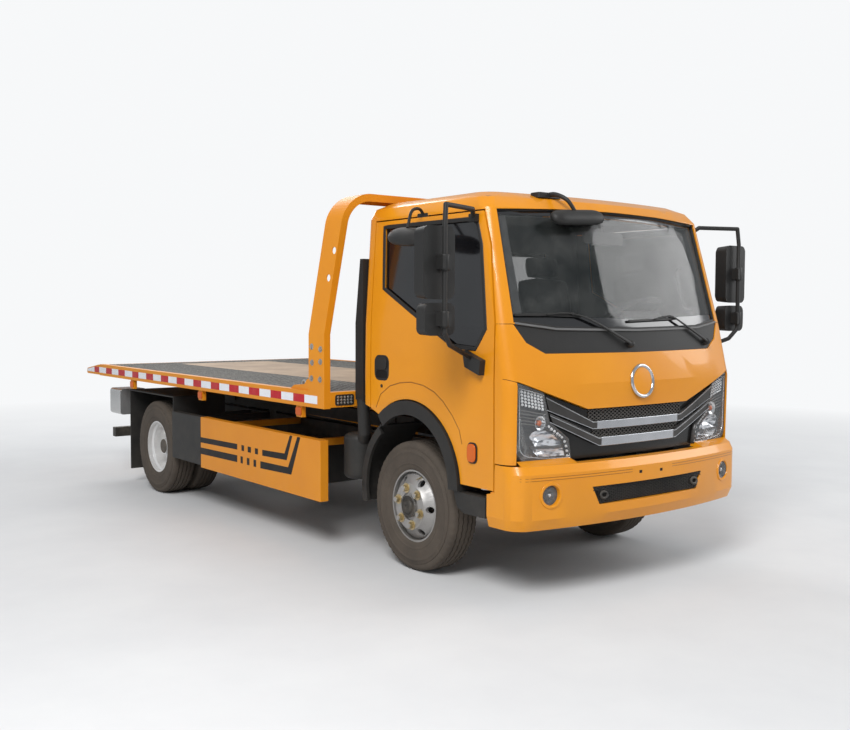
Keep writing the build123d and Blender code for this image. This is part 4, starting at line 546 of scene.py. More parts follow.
def ring_faces(rings, count, closed):
    """Faces between rings of points, one after another; a closed row has no ends."""
    faces = []
    for ring in range(rings if closed else rings - 1):
        here, there = ring * count, (ring + 1) % rings * count
        faces += [(here + k, here + (k + 1) % count, there + (k + 1) % count, there + k) for k in range(count)]
    if not closed:
        faces += [tuple(range(count)), tuple(range((rings - 1) * count, rings * count))]
    return faces


def turned(name, profile, centre, axis, steps):
    """Closed profile of (along, radius) turned about an axis through a centre."""
    along = Vector(axis).normalized()
    across = Vector((0, 0, 1)) if abs(along.z) < 0.9 else Vector((0, 1, 0))
    across = (across - along * across.dot(along)).normalized()
    third = along.cross(across)
    points = []
    for turn in circle(steps):
        spoke = across * math.cos(turn) + third * math.sin(turn)
        points += [Vector(centre) + along * a + spoke * r for a, r in profile]
    return tidy(mesh_piece(name, points, ring_faces(steps, len(profile), True)))


def smooth_path(points, per_span):
    """Round line through a few given points."""
    line = [Vector(p) for p in (points[0], *points, points[-1])]
    out = []
    for before, here, after, beyond in zip(line, line[1:], line[2:], line[3:]):
        for step in range(per_span):
            t = step / per_span
            out.append(0.5 * ((2 * here) + (after - before) * t
                              + (2 * before - 5 * here + 4 * after - beyond) * t * t
                              + (3 * here - before - 3 * after + beyond) * t ** 3))
    return out + [line[-1]]


def tube(name, points, radius, sides, closed=False, flatten=1.0):
    """Round bar along a line of points, its ends closed; a list of radii gives one for each point."""
    line = [Vector(p) for p in points]
    count = len(line)
    rings = []
    lean = None
    for i, here in enumerate(line):
        before = line[i - 1] if i > 0 or closed else here
        after = line[(i + 1) % count] if i + 1 < count or closed else here
        along = (after - before).normalized()
        if lean is None:
            lean = along.orthogonal().normalized()
        lean = (lean - along * lean.dot(along)).normalized()
        third = along.cross(lean)
        size = radius[i] if isinstance(radius, list) else radius
        rings += [here + (lean * math.cos(t) + third * math.sin(t) * flatten) * size for t in circle(sides)]
    return tidy(mesh_piece(name, rings, ring_faces(count, sides, closed)))


# Every solid piece: its name, body, slot and rounding
DRESSED = (
    ("cab_roof", "chassis", "cab_paint", 3.0),
    ("cab_back", "chassis", "cab_paint", 2.0),
    ("cab_front", "chassis", "cab_paint", 2.5),
    ("a_pillars", "chassis", "cab_paint", 2.5),
    ("cab_glass", "chassis", "window_glass", 0.0),
    ("cowl_panel", "chassis", "black_plastic", 2.0),
    ("cab_floor", "chassis", "floor_mat", 2.0),
    ("dashboard", "chassis", "trim_grey", 5.0),
    ("steering_wheel", "chassis", "black_plastic", 1.0),
    ("door_right", "door_right", "cab_paint", 2.5),
    ("door_left", "door_left", "cab_paint", 2.5),
    ("door_glass_right", "door_right", "window_glass", 0.0),
    ("door_glass_left", "door_left", "window_glass", 0.0),
    ("mirror_right", "door_right", "black_plastic", 3.0),
    ("mirror_left", "door_left", "black_plastic", 3.0),
    ("grille_panel", "chassis", "gloss_black", 1.5),
    ("grille_bars", "chassis", "chrome_trim", 3.0),
    ("bumper", "chassis", "cab_paint", 3.0),
    ("wheel_arches", "chassis", "black_plastic", 2.0),
    ("air_duct", "chassis", "black_plastic", 3.0),
    ("frame_rails", "chassis", "frame_paint", 1.5),
    ("frame_cross", "chassis", "frame_paint", 1.5),
    ("front_axle", "chassis", "axle_iron", 3.0),
    ("knuckle_right", "knuckle_right", "axle_iron", 2.0),
    ("knuckle_left", "knuckle_left", "axle_iron", 2.0),
    ("tie_rod", "tie_rod", "spring_steel", 1.0),
    ("leaf_springs", "chassis", "spring_steel", 1.0),
    ("driveline", "chassis", "axle_iron", 2.0),
    ("engine_block", "chassis", "engine_iron", 4.0),
    ("rim_front_right", "wheel_front_right", "rim_steel", 1.0),
    ("rim_front_left", "wheel_front_left", "rim_steel", 1.0),
    ("rims_rear_right", "wheel_rear_right", "rim_steel", 1.0),
    ("rims_rear_left", "wheel_rear_left", "rim_steel", 1.0),
    ("side_guards", "chassis", "body_paint", 2.5),
    ("side_boxes", "chassis", "black_plastic", 3.0),
    ("fuel_tank", "chassis", "tank_alloy", 4.0),
    ("battery_box", "chassis", "black_plastic", 4.0),
    ("exhaust", "chassis", "exhaust_steel", 2.0),
    ("rear_mudguards", "chassis", "black_plastic", 1.5),
    ("rear_bar", "chassis", "frame_paint", 3.0),
    ("lamp_boxes", "chassis", "lamp_box_steel", 2.0),
    ("tilt_frame", "tilt_frame", "frame_paint", 1.5),
    ("lift_barrels", "lift_barrels", "frame_paint", 1.5),
    ("lift_rods", "lift_rods", "rod_chrome", 1.0),
    ("deck_plate", "deck", "deck_steel", 0.8),
    ("deck_beams", "deck", "body_paint", 1.5),
    ("deck_bearers", "deck", "body_paint", 1.0),
    ("side_rails", "deck", "body_paint", 1.5),
    ("deck_tail", "deck", "body_paint", 1.5),
    ("headboard_arms", "deck", "body_paint", 2.0),
    ("headboard_bars", "deck", "body_paint", 2.0),
    ("winch_frame", "deck", "frame_paint", 1.5),
    ("winch_drum", "winch_drum", "winch_steel", 1.5),
)
# The rear rims take the lighter rim finish: painted light on the same steel as the front rims
OWN_FINISH = {"grille_bars": "bar_metal", "rims_rear_right": "rim_silver", "rims_rear_left": "rim_silver"}
for node, body, slot, bevel in DRESSED:
    dress(node, body, slot, bevel, OWN_FINISH.get(node))


# Trim laid on the surfaces of the solids

def search_tree(*nodes):
    shape = bmesh.new()
    for node in nodes:
        shape.from_mesh(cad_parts[node].data)
    tree = BVHTree.FromBMesh(shape)
    shape.free()
    return tree


FRONT = search_tree("cab_front", "a_pillars", "cab_roof", "cab_glass", "cowl_panel", "bumper")
LAMPS = search_tree("front_lamps")
BARS = search_tree("grille_bars")
PANEL = search_tree("grille_panel")
DOORS = {"right": search_tree("door_right"), "left": search_tree("door_left")}


OUTSIDE = 4000  # a ray starts this far before the point, clear of the truck
PULLS = (0, 6, 12, 20, 30, 45)  # steps towards the cab's middle, for a ray that just misses an edge
CAB_MIDDLE = (0, F, 1000)
BACKWARD = (0, 1, 0)


def met(tree, point, ray):
    """Where a ray from outside meets a piece, with the surface's direction, in mm."""
    spot, ray = Vector(point), Vector(ray)
    start = spot - ray * (spot.dot(ray) + OUTSIDE)
    for pull in PULLS:
        toward = Vector(CAB_MIDDLE) - start
        toward -= ray * toward.dot(ray)
        step = toward.normalized() * pull
        hit, normal, _, _ = tree.ray_cast((start + step) * MM, ray)
        if hit is not None:
            return hit / MM - step, normal
    return spot, -ray


def met_front(tree, x, z):
    return met(tree, (x, 0, z), BACKWARD)


def met_side(tree, sign, y, z):
    return met(tree, (0, F + y, z), (-sign, 0, 0))


def on_front(tree, x, z, lift=0.0):
    hit, normal = met_front(tree, x, z)
    return hit + normal * lift


def pressed(piece, tree):
    """A flat piece bent back onto a surface: its height above the flat becomes height above the surface."""
    along = Vector(BACKWARD)
    for vertex in piece.data.vertices:
        spot = vertex.co / MM
        hit, _ = met(tree, spot, along)
        vertex.co = (spot + along * hit.dot(along)) * MM
    return piece


def cut_finer(piece, step):
    """Divide a flat piece's long edges, so that it can bend."""
    shape = opened(piece)
    for _ in range(6):
        bmesh.ops.triangulate(shape, faces=shape.faces)
        longest = [edge for edge in shape.edges if edge.calc_length() > step * MM]
        if not longest:
            break
        bmesh.ops.subdivide_edges(shape, edges=longest, cuts=1)
    bmesh.ops.recalc_face_normals(shape, faces=shape.faces)
    return written(piece, shape)


def strip(name, line, faces_up, width, height, closed):
    """Flat bar along a line, its broad back on the surface below."""
    points = [Vector(p) for p in line]
    count = len(points)
    rings = []
    for i, here in enumerate(points):
        before = points[i - 1] if i or closed else here
        after = points[(i + 1) % count] if closed or i + 1 < count else here
        along = (after - before).normalized()
        across = along.cross(Vector(faces_up[i]).normalized()).normalized()
        up = across.cross(along).normalized() * height
        half = across * width / 2
        rings += [here - half, here + half, here + half * 0.72 + up, here - half * 0.72 + up]
    return tidy(mesh_piece(name, rings, ring_faces(count, 4, closed)))


def laid(name, hits, width, height, lift, closed):
    """Flat bar along the places where rays met a surface, raised or sunk by a lift."""
    return strip(name, [hit + normal * lift for hit, normal in hits], [normal for _, normal in hits],
                 width, height, closed)


def dense(line, step, closed=False):
    """A line of (a, b) points with more points along its long runs."""
    out = []
    for i in range(len(line) if closed else len(line) - 1):
        (a, b), (c, d) = line[i], line[(i + 1) % len(line)]
        cuts = max(1, int(math.hypot(c - a, d - b) / step))
        out += [(a + (c - a) * k / cuts, b + (d - b) * k / cuts) for k in range(cuts)]
    return out if closed else [*out, line[-1]]


def front_strip(name, tree, line, width, height, lift=0.0, closed=False, step=40):
    hits = [met_front(tree, x, z) for x, z in dense(line, step, closed)]
    return laid(name, hits, width, height, lift, closed)


def side_strip(name, tree, sign, line, width, height, lift, closed=False, step=50):
    hits = [met_side(tree, sign, y, z) for y, z in dense(line, step, closed)]
    return laid(name, hits, width, height, lift, closed)


def rectangle(a0, b0, a1, b1):
    return [(a0, b0), (a1, b0), (a1, b1), (a0, b1)]


def rounded(a0, b0, a1, b1, radius, steps=5):
    """Outline of a rectangle with round corners."""
    a0, a1 = sorted((a0, a1))
    corners = ((a1 - radius, b1 - radius, 0), (a0 + radius, b1 - radius, 1),
               (a0 + radius, b0 + radius, 2), (a1 - radius, b0 + radius, 3))
    return [(a + radius * math.cos((quarter + k / steps) * math.pi / 2),
             b + radius * math.sin((quarter + k / steps) * math.pi / 2))
            for a, b, quarter in corners for k in range(steps + 1)]


def mirrored(outline):
    return [(-a, b) for a, b in outline]


def scatter(name, centres, turn, solid, finish, **sizes):
    """One small shape at each of many places; solid builds it from the recipe."""
    recipe = Recipe(name, sizes)
    spots = recipe.add("GeometryNodeInstanceOnPoints", None, {
        "Points": recipe.take("Geometry"),
        "Instance": solid(recipe),
        "Rotation": recipe.add("FunctionNodeEulerToRotation", None, {"Euler": turn}),
    })
    return recipe.grow(name, spots, finish, mesh_piece(name + "_places", centres, []))


def bolt_head(recipe):
    """Hexagon head on a round washer, foot on the surface."""
    across, height = recipe.take("across"), recipe.take("height")
    head = recipe.add("GeometryNodeMeshCylinder", {"fill_type": "NGON"},
                      {"Vertices": 6, "Radius": across * 0.577, "Depth": height}, "Mesh")
    washer = recipe.add("GeometryNodeMeshCylinder", {"fill_type": "NGON"},
                        {"Vertices": 16, "Radius": across * 0.9, "Depth": height * 0.28}, "Mesh")
    lift = recipe.add("ShaderNodeCombineXYZ", None, {"Z": height * 0.5})
    head = recipe.add("GeometryNodeTransform", None, {"Geometry": head, "Translation": lift})
    return recipe.add("GeometryNodeJoinGeometry", None, {0: [head, washer]})


def wire_cross(recipe):
    """Two thin bars crossed, which join their neighbours into a lattice."""
    long, wide, thick = recipe.take("length"), recipe.take("width"), recipe.take("thickness")
    size = recipe.add("ShaderNodeCombineXYZ", None, {"X": long, "Y": thick, "Z": wide})
    bar = recipe.add("GeometryNodeMeshCube", None, {"Size": size}, "Mesh")
    bars = []
    for lean in (-recipe.take("lean"), recipe.take("lean")):
        turn = recipe.add("ShaderNodeCombineXYZ", None, {"Y": lean})
        bars.append(recipe.add("GeometryNodeTransform", None, {"Geometry": bar, "Rotation": turn}))
    return recipe.add("GeometryNodeJoinGeometry", None, {0: bars})


def bead(recipe):
    """Small faceted light."""
    size = recipe.take("size")
    return recipe.add("GeometryNodeMeshCone", {"fill_type": "NGON"},
                      {"Vertices": 8, "Radius Top": size * 0.55, "Radius Bottom": size, "Depth": size * 0.8}, "Mesh")


OUT_TURN = {"right": (0.0, -math.pi / 2, 0.0), "left": (0.0, math.pi / 2, 0.0), "front": (math.pi / 2, 0.0, 0.0)}


def bolts(name, body, slot, facing, across, height, centres, finish):
    piece = scatter(name, centres, OUT_TURN[facing], bolt_head, finish, across=across * MM, height=height * MM)
    return place(piece, body, slot, finish=finish)


# Stripes on the deck's sides and on the side guards

TAPE_ENDS = (625, 782, 922, 1079, 1224, 1380, 1533, 1686, 1835, 1993, 2134, 2300, 2440, 2599, 2749, 2911, 3059,
             3219, 3368, 3534, 3676, 3847, 4002, 4160, 4309, 4482, 4610, 4800)


TAPE_BEND = 4590  # station where the upper edge starts to fall with the tail


def tape_top(y):
    return min(1014.0, 1026.0 - 0.1473 * (y - 4508))


for colour, first in (("white", 0), ("red", 1)):
    bands = []
    for side, sign in SIDES:
        for near, far in list(zip(TAPE_ENDS, TAPE_ENDS[1:]))[first::2]:
            outline = [(F + near + 1, 963), (F + far - 1, 963), (F + far - 1, tape_top(far))]
            if far > TAPE_BEND + 10:
                outline += [(F + max(near + 2, min(TAPE_BEND, far - 4)), tape_top(max(near, TAPE_BEND)))]
            outline += [(F + near + 1, tape_top(near))]
            bands.append(slab("band", outline, "x", sign * 1149.5, sign * 1150.7))
    place(joined("deck_tape_" + colour, bands), "deck", "body_paint", finish="tape_" + colour)

GUARD_FILM = (
    [(1813, 540), (2423, 527), (2423, 568), (1813, 581)],
    rectangle(1707, 540, 1747, 581),
    rectangle(1603, 540, 1651, 581),
    rectangle(1499, 540, 1543, 581),
    [(1437, 581), (1437, 540), (1099, 549), (1022, 721), (1054, 721), (1128, 591)],
    [(1814, 448), (2423, 438), (2423, 488), (1814, 498)],
    rectangle(1727, 448, 1762, 498),
    rectangle(1626, 448, 1665, 498),
    rectangle(1527, 448, 1565, 498),
    [(1465, 498), (1465, 448), (1038, 460), (919, 721), (957, 721), (1080, 504)],
)
for side, sign in SIDES:
    films = [slab("film", [(F + y, z) for y, z in outline], "x", sign * 1099.5, sign * 1100.6)
             for outline in GUARD_FILM]
    place(joined("guard_stripes_" + side, films), "chassis", "gloss_black", finish="film_black")

# Tread lugs of the deck, on each side of the smooth run; sizes in metres
LUG_FIELD = (2.18, 3.86)
LUG_COLUMNS, LUG_ROWS = 69, 121
LUG_SIZES = {"length": 0.027, "width": 0.0085, "height": 0.0018, "run_half": 0.476, "run_end": 2.372}


def deck_lugs():
    recipe = Recipe("deck_lugs", LUG_SIZES)
    grid = recipe.add("GeometryNodeMeshGrid", None, {
        "Size X": LUG_FIELD[0], "Size Y": LUG_FIELD[1], "Vertices X": LUG_COLUMNS, "Vertices Y": LUG_ROWS}, "Mesh")
    middle = (0.0, (F + 2508) * MM, 1.0359)
    grid = recipe.add("GeometryNodeTransform", None, {"Geometry": grid, "Translation": middle})
    x, y, _ = recipe.parts(recipe.add("GeometryNodeInputPosition"))
    index = recipe.add("GeometryNodeInputIndex")
    column = ((index + 0.5) / float(LUG_ROWS)).whole()
    parity = (column + (index - column * float(LUG_ROWS))) % 2.0
    tilt = recipe.add("ShaderNodeCombineXYZ", None, {"Z": parity * (math.pi / 2) + math.pi / 4})
    size = recipe.add("ShaderNodeCombineXYZ", None, {
        "X": recipe.take("length"), "Y": recipe.take("width"), "Z": recipe.take("height")})
    lug = recipe.add("GeometryNodeMeshCone", {"fill_type": "NGON"}, {
        "Vertices": 4, "Radius Top": 0.34, "Radius Bottom": 0.5, "Depth": 1.0}, "Mesh")
    outside = (abs(x) > recipe.take("run_half")).most(y > recipe.take("run_end"))
    spots = recipe.add("GeometryNodeInstanceOnPoints", None, {
        "Points": grid, "Selection": outside, "Instance": lug, "Scale": size,
        "Rotation": recipe.add("FunctionNodeEulerToRotation", None, {"Euler": tilt})})
    return recipe.grow("deck_lugs", spots, "deck_steel")


place(deck_lugs(), "deck", "deck_steel", angle=20)

# Bolts, gussets and sockets of the headboard
ARM_BOLTS = ((690, 1323), (586, 1309), (686, 1222), (587, 1231), (693, 1122), (591, 1120))
GUSSET = ((732, 1040), (989, 1040), (940, 1066), (811, 1078), (777, 1112), (732, 1116))
for side, sign in SIDES:
    centres = [(sign * 1150, F + y, z) for y, z in ARM_BOLTS]
    bolts("arm_bolts_" + side, "deck", "body_paint", side, 22, 10, centres, "bolt_zinc")
    gusset = slab("arm_gusset_" + side, [(F + y, z) for y, z in GUSSET], "x", sign * 1122, sign * 1134)
    place(gusset, "deck", "body_paint", 1.5)
    loop = [(sign * 1128, F + 820 + 26 * math.cos(t), 1074 + 26 * math.sin(t)) for t in circle(24)]
    place(tube("tie_ring_" + side, loop, 6, 10, True), "deck", "body_paint", finish="bolt_zinc")
socket = slab("front_socket", rounded(-1070, 955, -930, 1024, 14), "y", F + 541, F + 545)
place(socket, "deck", "black_plastic", 1.0)
bolts("socket_pins", "deck", "black_plastic", "front", 9, 5,
      [(x, F + 541, z) for x in (-1050, -1025, -1000, -975, -950) for z in (972, 990, 1008)], "bolt_zinc")

# Side marker lamps under the deck
for side, sign in SIDES:
    lenses = [slab("lens", rounded(F + y - 34, 874, F + y + 34, 926, 12), "x", sign * 1137, sign * 1146)
              for y in (870, 2340, 3710)]
    place(joined("deck_markers_" + side, lenses), "deck", "lamp_glass", 2.5, finish="amber_lens")

# Headlamps: clear lens in front of a dark case, with reflectors and lights between

def part_of(node, name, keep, wall):
    """The faces of a solid that pass a test, given a wall inwards."""
    piece, shape = copy_of(node, name)
    shape.normal_update()
    unwanted = [face for face in shape.faces if not keep(face.calc_center_median() / MM, face.normal)]
    bmesh.ops.delete(shape, geom=unwanted, context="FACES")
    written(piece, shape)
    skin = piece.modifiers.new("wall", "SOLIDIFY")
    skin.thickness = wall * MM
    skin.offset = -1.0
    skin.use_even_offset = False
    return piece


def lamp_flat(name, outline, near, far, step=25):
    """Slab behind the lens, between two depths, following its curve."""
    return pressed(cut_finer(slab(name, outline, "y", near, far), step), LAMPS)


MATRIX = ((-859, 1142), (-714, 1105), (-699, 1022), (-851, 1056))
SLAT_ENDS = ((-861, 1040, -690, 1006), (-861, 1022, -687, 990), (-860, 1004, -684, 973), (-860, 986, -681, 956),
             (-860, 968, -678, 940))
BOWL_UPPER = ((-800, 890), (-782, 912), (-744, 924), (-694, 918), (-640, 890), (-598, 856), (-592, 840), (-640, 834),
              (-762, 840))
BOWL_LOWER = ((-786, 823), (-640, 819), (-580, 819), (-571, 800), (-566, 779), (-640, 777), (-744, 782))
DIVIDER = ((-795, 840), (-640, 833), (-594, 838), (-584, 821), (-640, 820), (-790, 825))
LED_LINE = ((-670, 938), (-652, 925), (-612, 898), (-582, 876), (-562, 852), (-552, 826), (-546, 800), (-542, 774))
RIM_LINE = ((-716, 1108), (-873, 1150), (-868, 1047), (-866, 848), (-856, 815), (-838, 797), (-812, 786),
            (-744, 776), (-640, 768), (-531, 766))


# Turned parts of the lamps: (along, radius)
TURN_CUP = ((0, 4), (0, 12), (-10, 26), (-18, 36), (-18, 39), (-9, 29), (2, 14), (3, 4))
TURN_BULB = ((2, 1.5), (2, 13), (-6, 17), (-14, 15), (-19, 8), (-20.5, 1.5))
FOG_BOWL = ((28, 1), (26, 16), (18, 32), (4, 44), (0, 50), (3, 51), (8, 46), (22, 34), (31, 17), (33, 1))
FOG_BULB = ((26, 1), (26, 9), (4, 11), (-1, 9), (-3, 1))
FOG_GLASS = ((-9, 0.5), (-8, 18), (-5, 34), (0, 47), (2, 51), (4, 49), (1, 45), (-3, 33), (-6, 17), (-7, 0.5))


def dish(name, outline, rim, depth):
    """Reflector: an outline at one depth sinking to a round floor."""
    middle = (sum(a for a, _ in outline) / len(outline), sum(b for _, b in outline) / len(outline))
    edge = dense(outline, 12, True)
    rings = 6
    points, faces = [], []
    for back in (0.0, 2.0):
        for ring in range(rings):
            t = ring / rings
            points += [(a + (middle[0] - a) * t, rim + back + depth * math.sin(t * math.pi / 2),
                        b + (middle[1] - b) * t) for a, b in edge]
        points.append((middle[0], rim + back + depth, middle[1]))
    count = len(edge)
    half = count * rings + 1
    for base in (0, half):
        for ring in range(rings - 1):
            a, b = base + ring * count, base + (ring + 1) * count
            faces += [(a + k, a + (k + 1) % count, b + (k + 1) % count, b + k) for k in range(count)]
        last = base + (rings - 1) * count
        faces += [(last + k, last + (k + 1) % count, base + half - 1) for k in range(count)]
    faces += [(k, (k + 1) % count, half + (k + 1) % count, half + k) for k in range(count)]
    return pressed(tidy(mesh_piece(name, points, faces)), LAMPS)


def light_spots(sign):
    """Places of the small lights: a grid on the upper plate, and a row down the outer edge."""
    rows, columns = 5, 7
    spots = []
    for row in range(rows):
        for column in range(columns):
            u, v = (column + 0.5) / columns, (row + 0.5) / rows
            top = [MATRIX[0][k] + (MATRIX[1][k] - MATRIX[0][k]) * u for k in (0, 1)]
            foot = [MATRIX[3][k] + (MATRIX[2][k] - MATRIX[3][k]) * u for k in (0, 1)]
            spots.append((-sign * (top[0] + (foot[0] - top[0]) * v), 14, top[1] + (foot[1] - top[1]) * v))
    return spots + [(-sign * x, 12, z) for x, z in dense(LED_LINE, 17)]


for side, sign in SIDES:
    turn = mirrored if sign > 0 else list
    plate = lamp_flat("lamp_plate_" + side, turn(MATRIX), 20, 26)
    place(plate, "chassis", "lamp_glass", finish="film_black")
    lights = scatter("lamp_lights_" + side, light_spots(sign), (math.pi / 2, 0, 0), bead, "pale_lens", size=0.0082)
    place(pressed(lights, LAMPS), "chassis", "lamp_glass", finish="pale_lens")
    track = front_strip("lamp_track_" + side, LAMPS, turn(LED_LINE), 24, 4, -22)
    place(track, "chassis", "lamp_glass", finish="film_black")
    slats = [lamp_flat("slat", turn([(a, b), (c, d), (c, d - 6), (a, b - 6)]), 14, 40, 60)
             for a, b, c, d in SLAT_ENDS]
    place(joined("lamp_slats_" + side, slats), "chassis", "lamp_glass", finish="lattice_grey")
    bowls = [dish("bowl", turn(outline), 8, 30) for outline in (BOWL_UPPER, BOWL_LOWER)]
    place(joined("lamp_bowls_" + side, bowls), "chassis", "lamp_glass", angle=50, finish="bowl_mirror")
    divider = lamp_flat("lamp_divider_" + side, turn(DIVIDER), 5, 16)
    place(divider, "chassis", "lamp_glass", finish="lamp_grey")
    seat = on_front(LAMPS, sign * 733, 959, -26)
    for part, profile, steps, finish in (("cup", TURN_CUP, 28, "lamp_mirror"), ("bulb", TURN_BULB, 24, "amber_lens")):
        piece = turned("turn_%s_%s" % (part, side), profile, seat, (0, 1, 0), steps)
        place(piece, "chassis", "lamp_glass", angle=60, finish=finish)
    rim = front_strip("lamp_rim_" + side, LAMPS, turn(RIM_LINE), 5, 3, -5, step=20)
    place(rim, "chassis", "lamp_glass", finish="lamp_mirror")

# The lens faces forward and stands for the whole lamp; the case is the rest of it
lens = part_of("front_lamps", "lamp_lenses", lambda c, n: c.z > 700 and n.y < -0.25, 1.5)
place(lens, "chassis", "lamp_glass", stands_for=("front_lamps",))
case = part_of("front_lamps", "lamp_cases", lambda c, n: c.z > 700 and n.y >= -0.25, 2.0)
place(case, "chassis", "lamp_glass", finish="lamp_grey")
fog_case = part_of("front_lamps", "fog_cases", lambda c, n: c.z < 700 and n.y >= -0.9, 2.0)
place(fog_case, "chassis", "lamp_glass", finish="lamp_grey")
fog_seat = min(v.co.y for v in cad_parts["front_lamps"].data.vertices if v.co.z < 0.66) / MM

# Painted lip that closes the space between the bumper and each lamp
BUMPER = search_tree("bumper")
LIP_ROWS = 31
for side, sign in SIDES:
    points = []
    for k in range(LIP_ROWS):
        x = sign * (524 + 12 * k)
        foot = on_front(BUMPER, x, 737)
        head = on_front(LAMPS, max(-876, min(876, x)), 776)
        points += [(x, foot.y + 1, 738), (x, head.y - 1, 765), (x, head.y + 3, 765), (x, foot.y + 5, 738)]
    lip = mesh_piece("lamp_lip_" + side, points, ring_faces(LIP_ROWS, 4, False))
    place(tidy(lip), "chassis", "cab_paint", angle=40)

# Fog lamps: reflector, bulb, clear domed glass and the bumper's raised ring
FOG_PARTS = (
    ("bowl", FOG_BOWL, 40, "lamp_grey"),
    ("bulb", FOG_BULB, 20, "lamp_mirror"),
    ("glass", FOG_GLASS, 40, None),
)
for side, sign in SIDES:
    for part, profile, steps, finish in FOG_PARTS:
        piece = turned("fog_%s_%s" % (part, side), profile, (sign * 730, fog_seat, 587), (0, 1, 0), steps)
        place(piece, "chassis", "lamp_glass", angle=60, finish=finish)
    hits = [met_front(FRONT, sign * 730 + 62 * math.cos(t), 587 + 62 * math.sin(t)) for t in circle(48)]
    place(laid("fog_flange_" + side, hits, 17, 6, -1, True), "chassis", "cab_paint", 1.2, 40)

# Grille: lattice in two bands, and bright chrome strips along the bar edges as painted highlights
WIRE = {"length": 0.037, "width": 0.0047, "thickness": 0.0036, "lean": 0.53}


def lattice(name, low, high, half_low, half_high, depth, tree, up=18.2):
    """Wire lattice between two heights, its rows as wide as the opening there."""
    along = 31.5
    rows = int((high - low) / up)
    centres = []
    for row in range(rows):
        z = low + (row + 0.5) * (high - low) / rows
        half = half_low + (half_high - half_low) * (z - low) / (high - low)
        columns = int(half / along)
        centres += [(c * along, depth, z) for c in range(-columns, columns + 1)]
    piece = scatter(name, centres, (0.0, 0.0, 0.0), wire_cross, "black_plastic", **WIRE)
    return pressed(piece, tree) if tree else piece


for name, low, high, half_low, half_high in (("upper", 953, 1014, 376, 412), ("lower", 858, 903, 352, 366)):
    band = lattice("grille_lattice_" + name, low, high, half_low, half_high, -4, PANEL)
    place(band, "chassis", "black_plastic", finish="lattice_black")
# Lines along the bars' edges where bright chrome strips paint the highlights
BAR_HIGHLIGHT_LINES = (
    ((344, 946), (375, 947), (703, 1093)),
    ((344, 910), (376, 911), (703, 1030)),
    ((308, 855), (328, 855), (677, 998)),
    ((308, 815), (328, 816), (677, 963)),
)
for side, sign in SIDES:
    edges = [front_strip("edge", BARS, [(sign * x, z) for x, z in line], 4, 1.6, -0.3) for line in BAR_HIGHLIGHT_LINES]
    place(joined("bar_edges_" + side, edges), "chassis", "chrome_trim")

# Bumper: creases with a darker line of painted shade, lattice in the slot before a black back of painted shade, tow
# hooks, two plate screw holes as dark sheets of painted shade
for level, name in ((683, "upper"), (669, "lower")):
    halves = [front_strip("crease", FRONT, [(end * x, level) for x in (905, 600, 170)], 3.2, 1.4, -0.4, step=30)
              for end in (-1, 1)]
    place(joined("bumper_crease_" + name, halves), "chassis", "cab_paint", finish="amber_shade")
screen = lattice("slot_lattice", 518, 608, 405, 450, -2925, None, 18.0)
place(screen, "chassis", "black_plastic")
# A black sheet behind the slot: painted shade of the dark space behind the bumper
back = slab("slot_back_painted_shade", [(-470, 618), (470, 618), (436, 506), (-436, 506)], "y", -2916, -2912)
place(back, "chassis", "black_plastic", 1.0)
for side, sign in SIDES:
    loop = [(sign * 385 + 26 * math.cos(t), -2934 + 4 * math.sin(t), 562 + 17 * math.sin(t)) for t in circle(28)]
    place(tube("tow_loop_" + side, loop, 7, 12, True), "chassis", "frame_paint", angle=60)
# The screw holes are dark sheets on the bumper: painted shade of their insides
holes = [cut_finer(slab("hole", rectangle(x - 11, z - 8, x + 11, z + 8), "y", -0.8, 1.0), 30)
         for x, z in ((-104, 664), (70, 660))]
place(pressed(joined("plate_holes_painted_shade", holes), FRONT), "chassis", "gloss_black", finish="film_black")

# Ring and bare disc where the badge goes
hub, lean = met_front(FRONT, 0, 1160)
badge = turned("badge_disc", [(-6, 0.5), (-6, 80), (0, 82), (3, 79), (5, 50), (6, 0.5)], hub, lean, 64)
place(badge, "chassis", "cab_paint", angle=40)
ring = turned("badge_ring", [(-6, 77), (-6, 97), (2, 98), (8, 95), (11, 87.5), (8, 80), (2, 77)], hub, lean, 72)
place(ring, "chassis", "chrome_trim", angle=60)

# Seals round the windscreen, the rear window and the door glass
SCREEN_EDGE = ((0, 1455), (600, 1465), (848, 1498), (826, 2093), (400, 2110), (0, 2115))
loop = [*SCREEN_EDGE, *mirrored(SCREEN_EDGE[-2:0:-1])]
place(front_strip("screen_seal", FRONT, loop, 13, 12, -2, True, 35), "chassis", "black_plastic")
SILL = ((0, 1446), (200, 1449), (400, 1452), (600, 1456), (680, 1467), (740, 1474), (800, 1482), (850, 1489))
line = [*mirrored(SILL[:0:-1]), *SILL]
place(front_strip("screen_sill", FRONT, line, 13, 4, -1, step=30), "chassis", "trim_grey")
for side, sign in SIDES:
    joints = [front_strip("joint", FRONT, [(sign * x, z) for x, z in line], 3.2, 1.2, -0.4, step=8)
              for line in (((858, 1484), (880, 1484), (905, 1484), (920, 1484), (931, 1484)),
                           ((889, 1182), (905, 1187), (918, 1191), (929, 1195), (937, 1197)))]
    place(joined("corner_joints_" + side, joints), "chassis", "gloss_black", finish="film_black")
loop = rounded(-608, 1482, 608, 1958, 40)
seal = strip("rear_window_seal", [(x, -1430, z) for x, z in loop], [(0, 1, 0)] * len(loop), 18, 7, True)
place(seal, "chassis", "black_plastic", 1.0)
WINDOW = ((250, 2052), (225, 1685), (-120, 1520), (-450, 1362), (-640, 1350), (-722, 1460), (-652, 1905), (-610, 2020),
          (-570, 2045))
cy = sum(y for y, _ in WINDOW) / len(WINDOW)
cz = sum(z for _, z in WINDOW) / len(WINDOW)
grown = []
for y, z in WINDOW:
    away = Vector((y - cy, z - cz)).normalized() * 4
    grown.append((y + away.x, z + away.y))
for side, sign in SIDES:
    seal = side_strip("window_seal_" + side, DOORS[side], sign, grown, 26, 5, -1, True, 45)
    place(seal, "door_" + side, "black_plastic", 1.0)

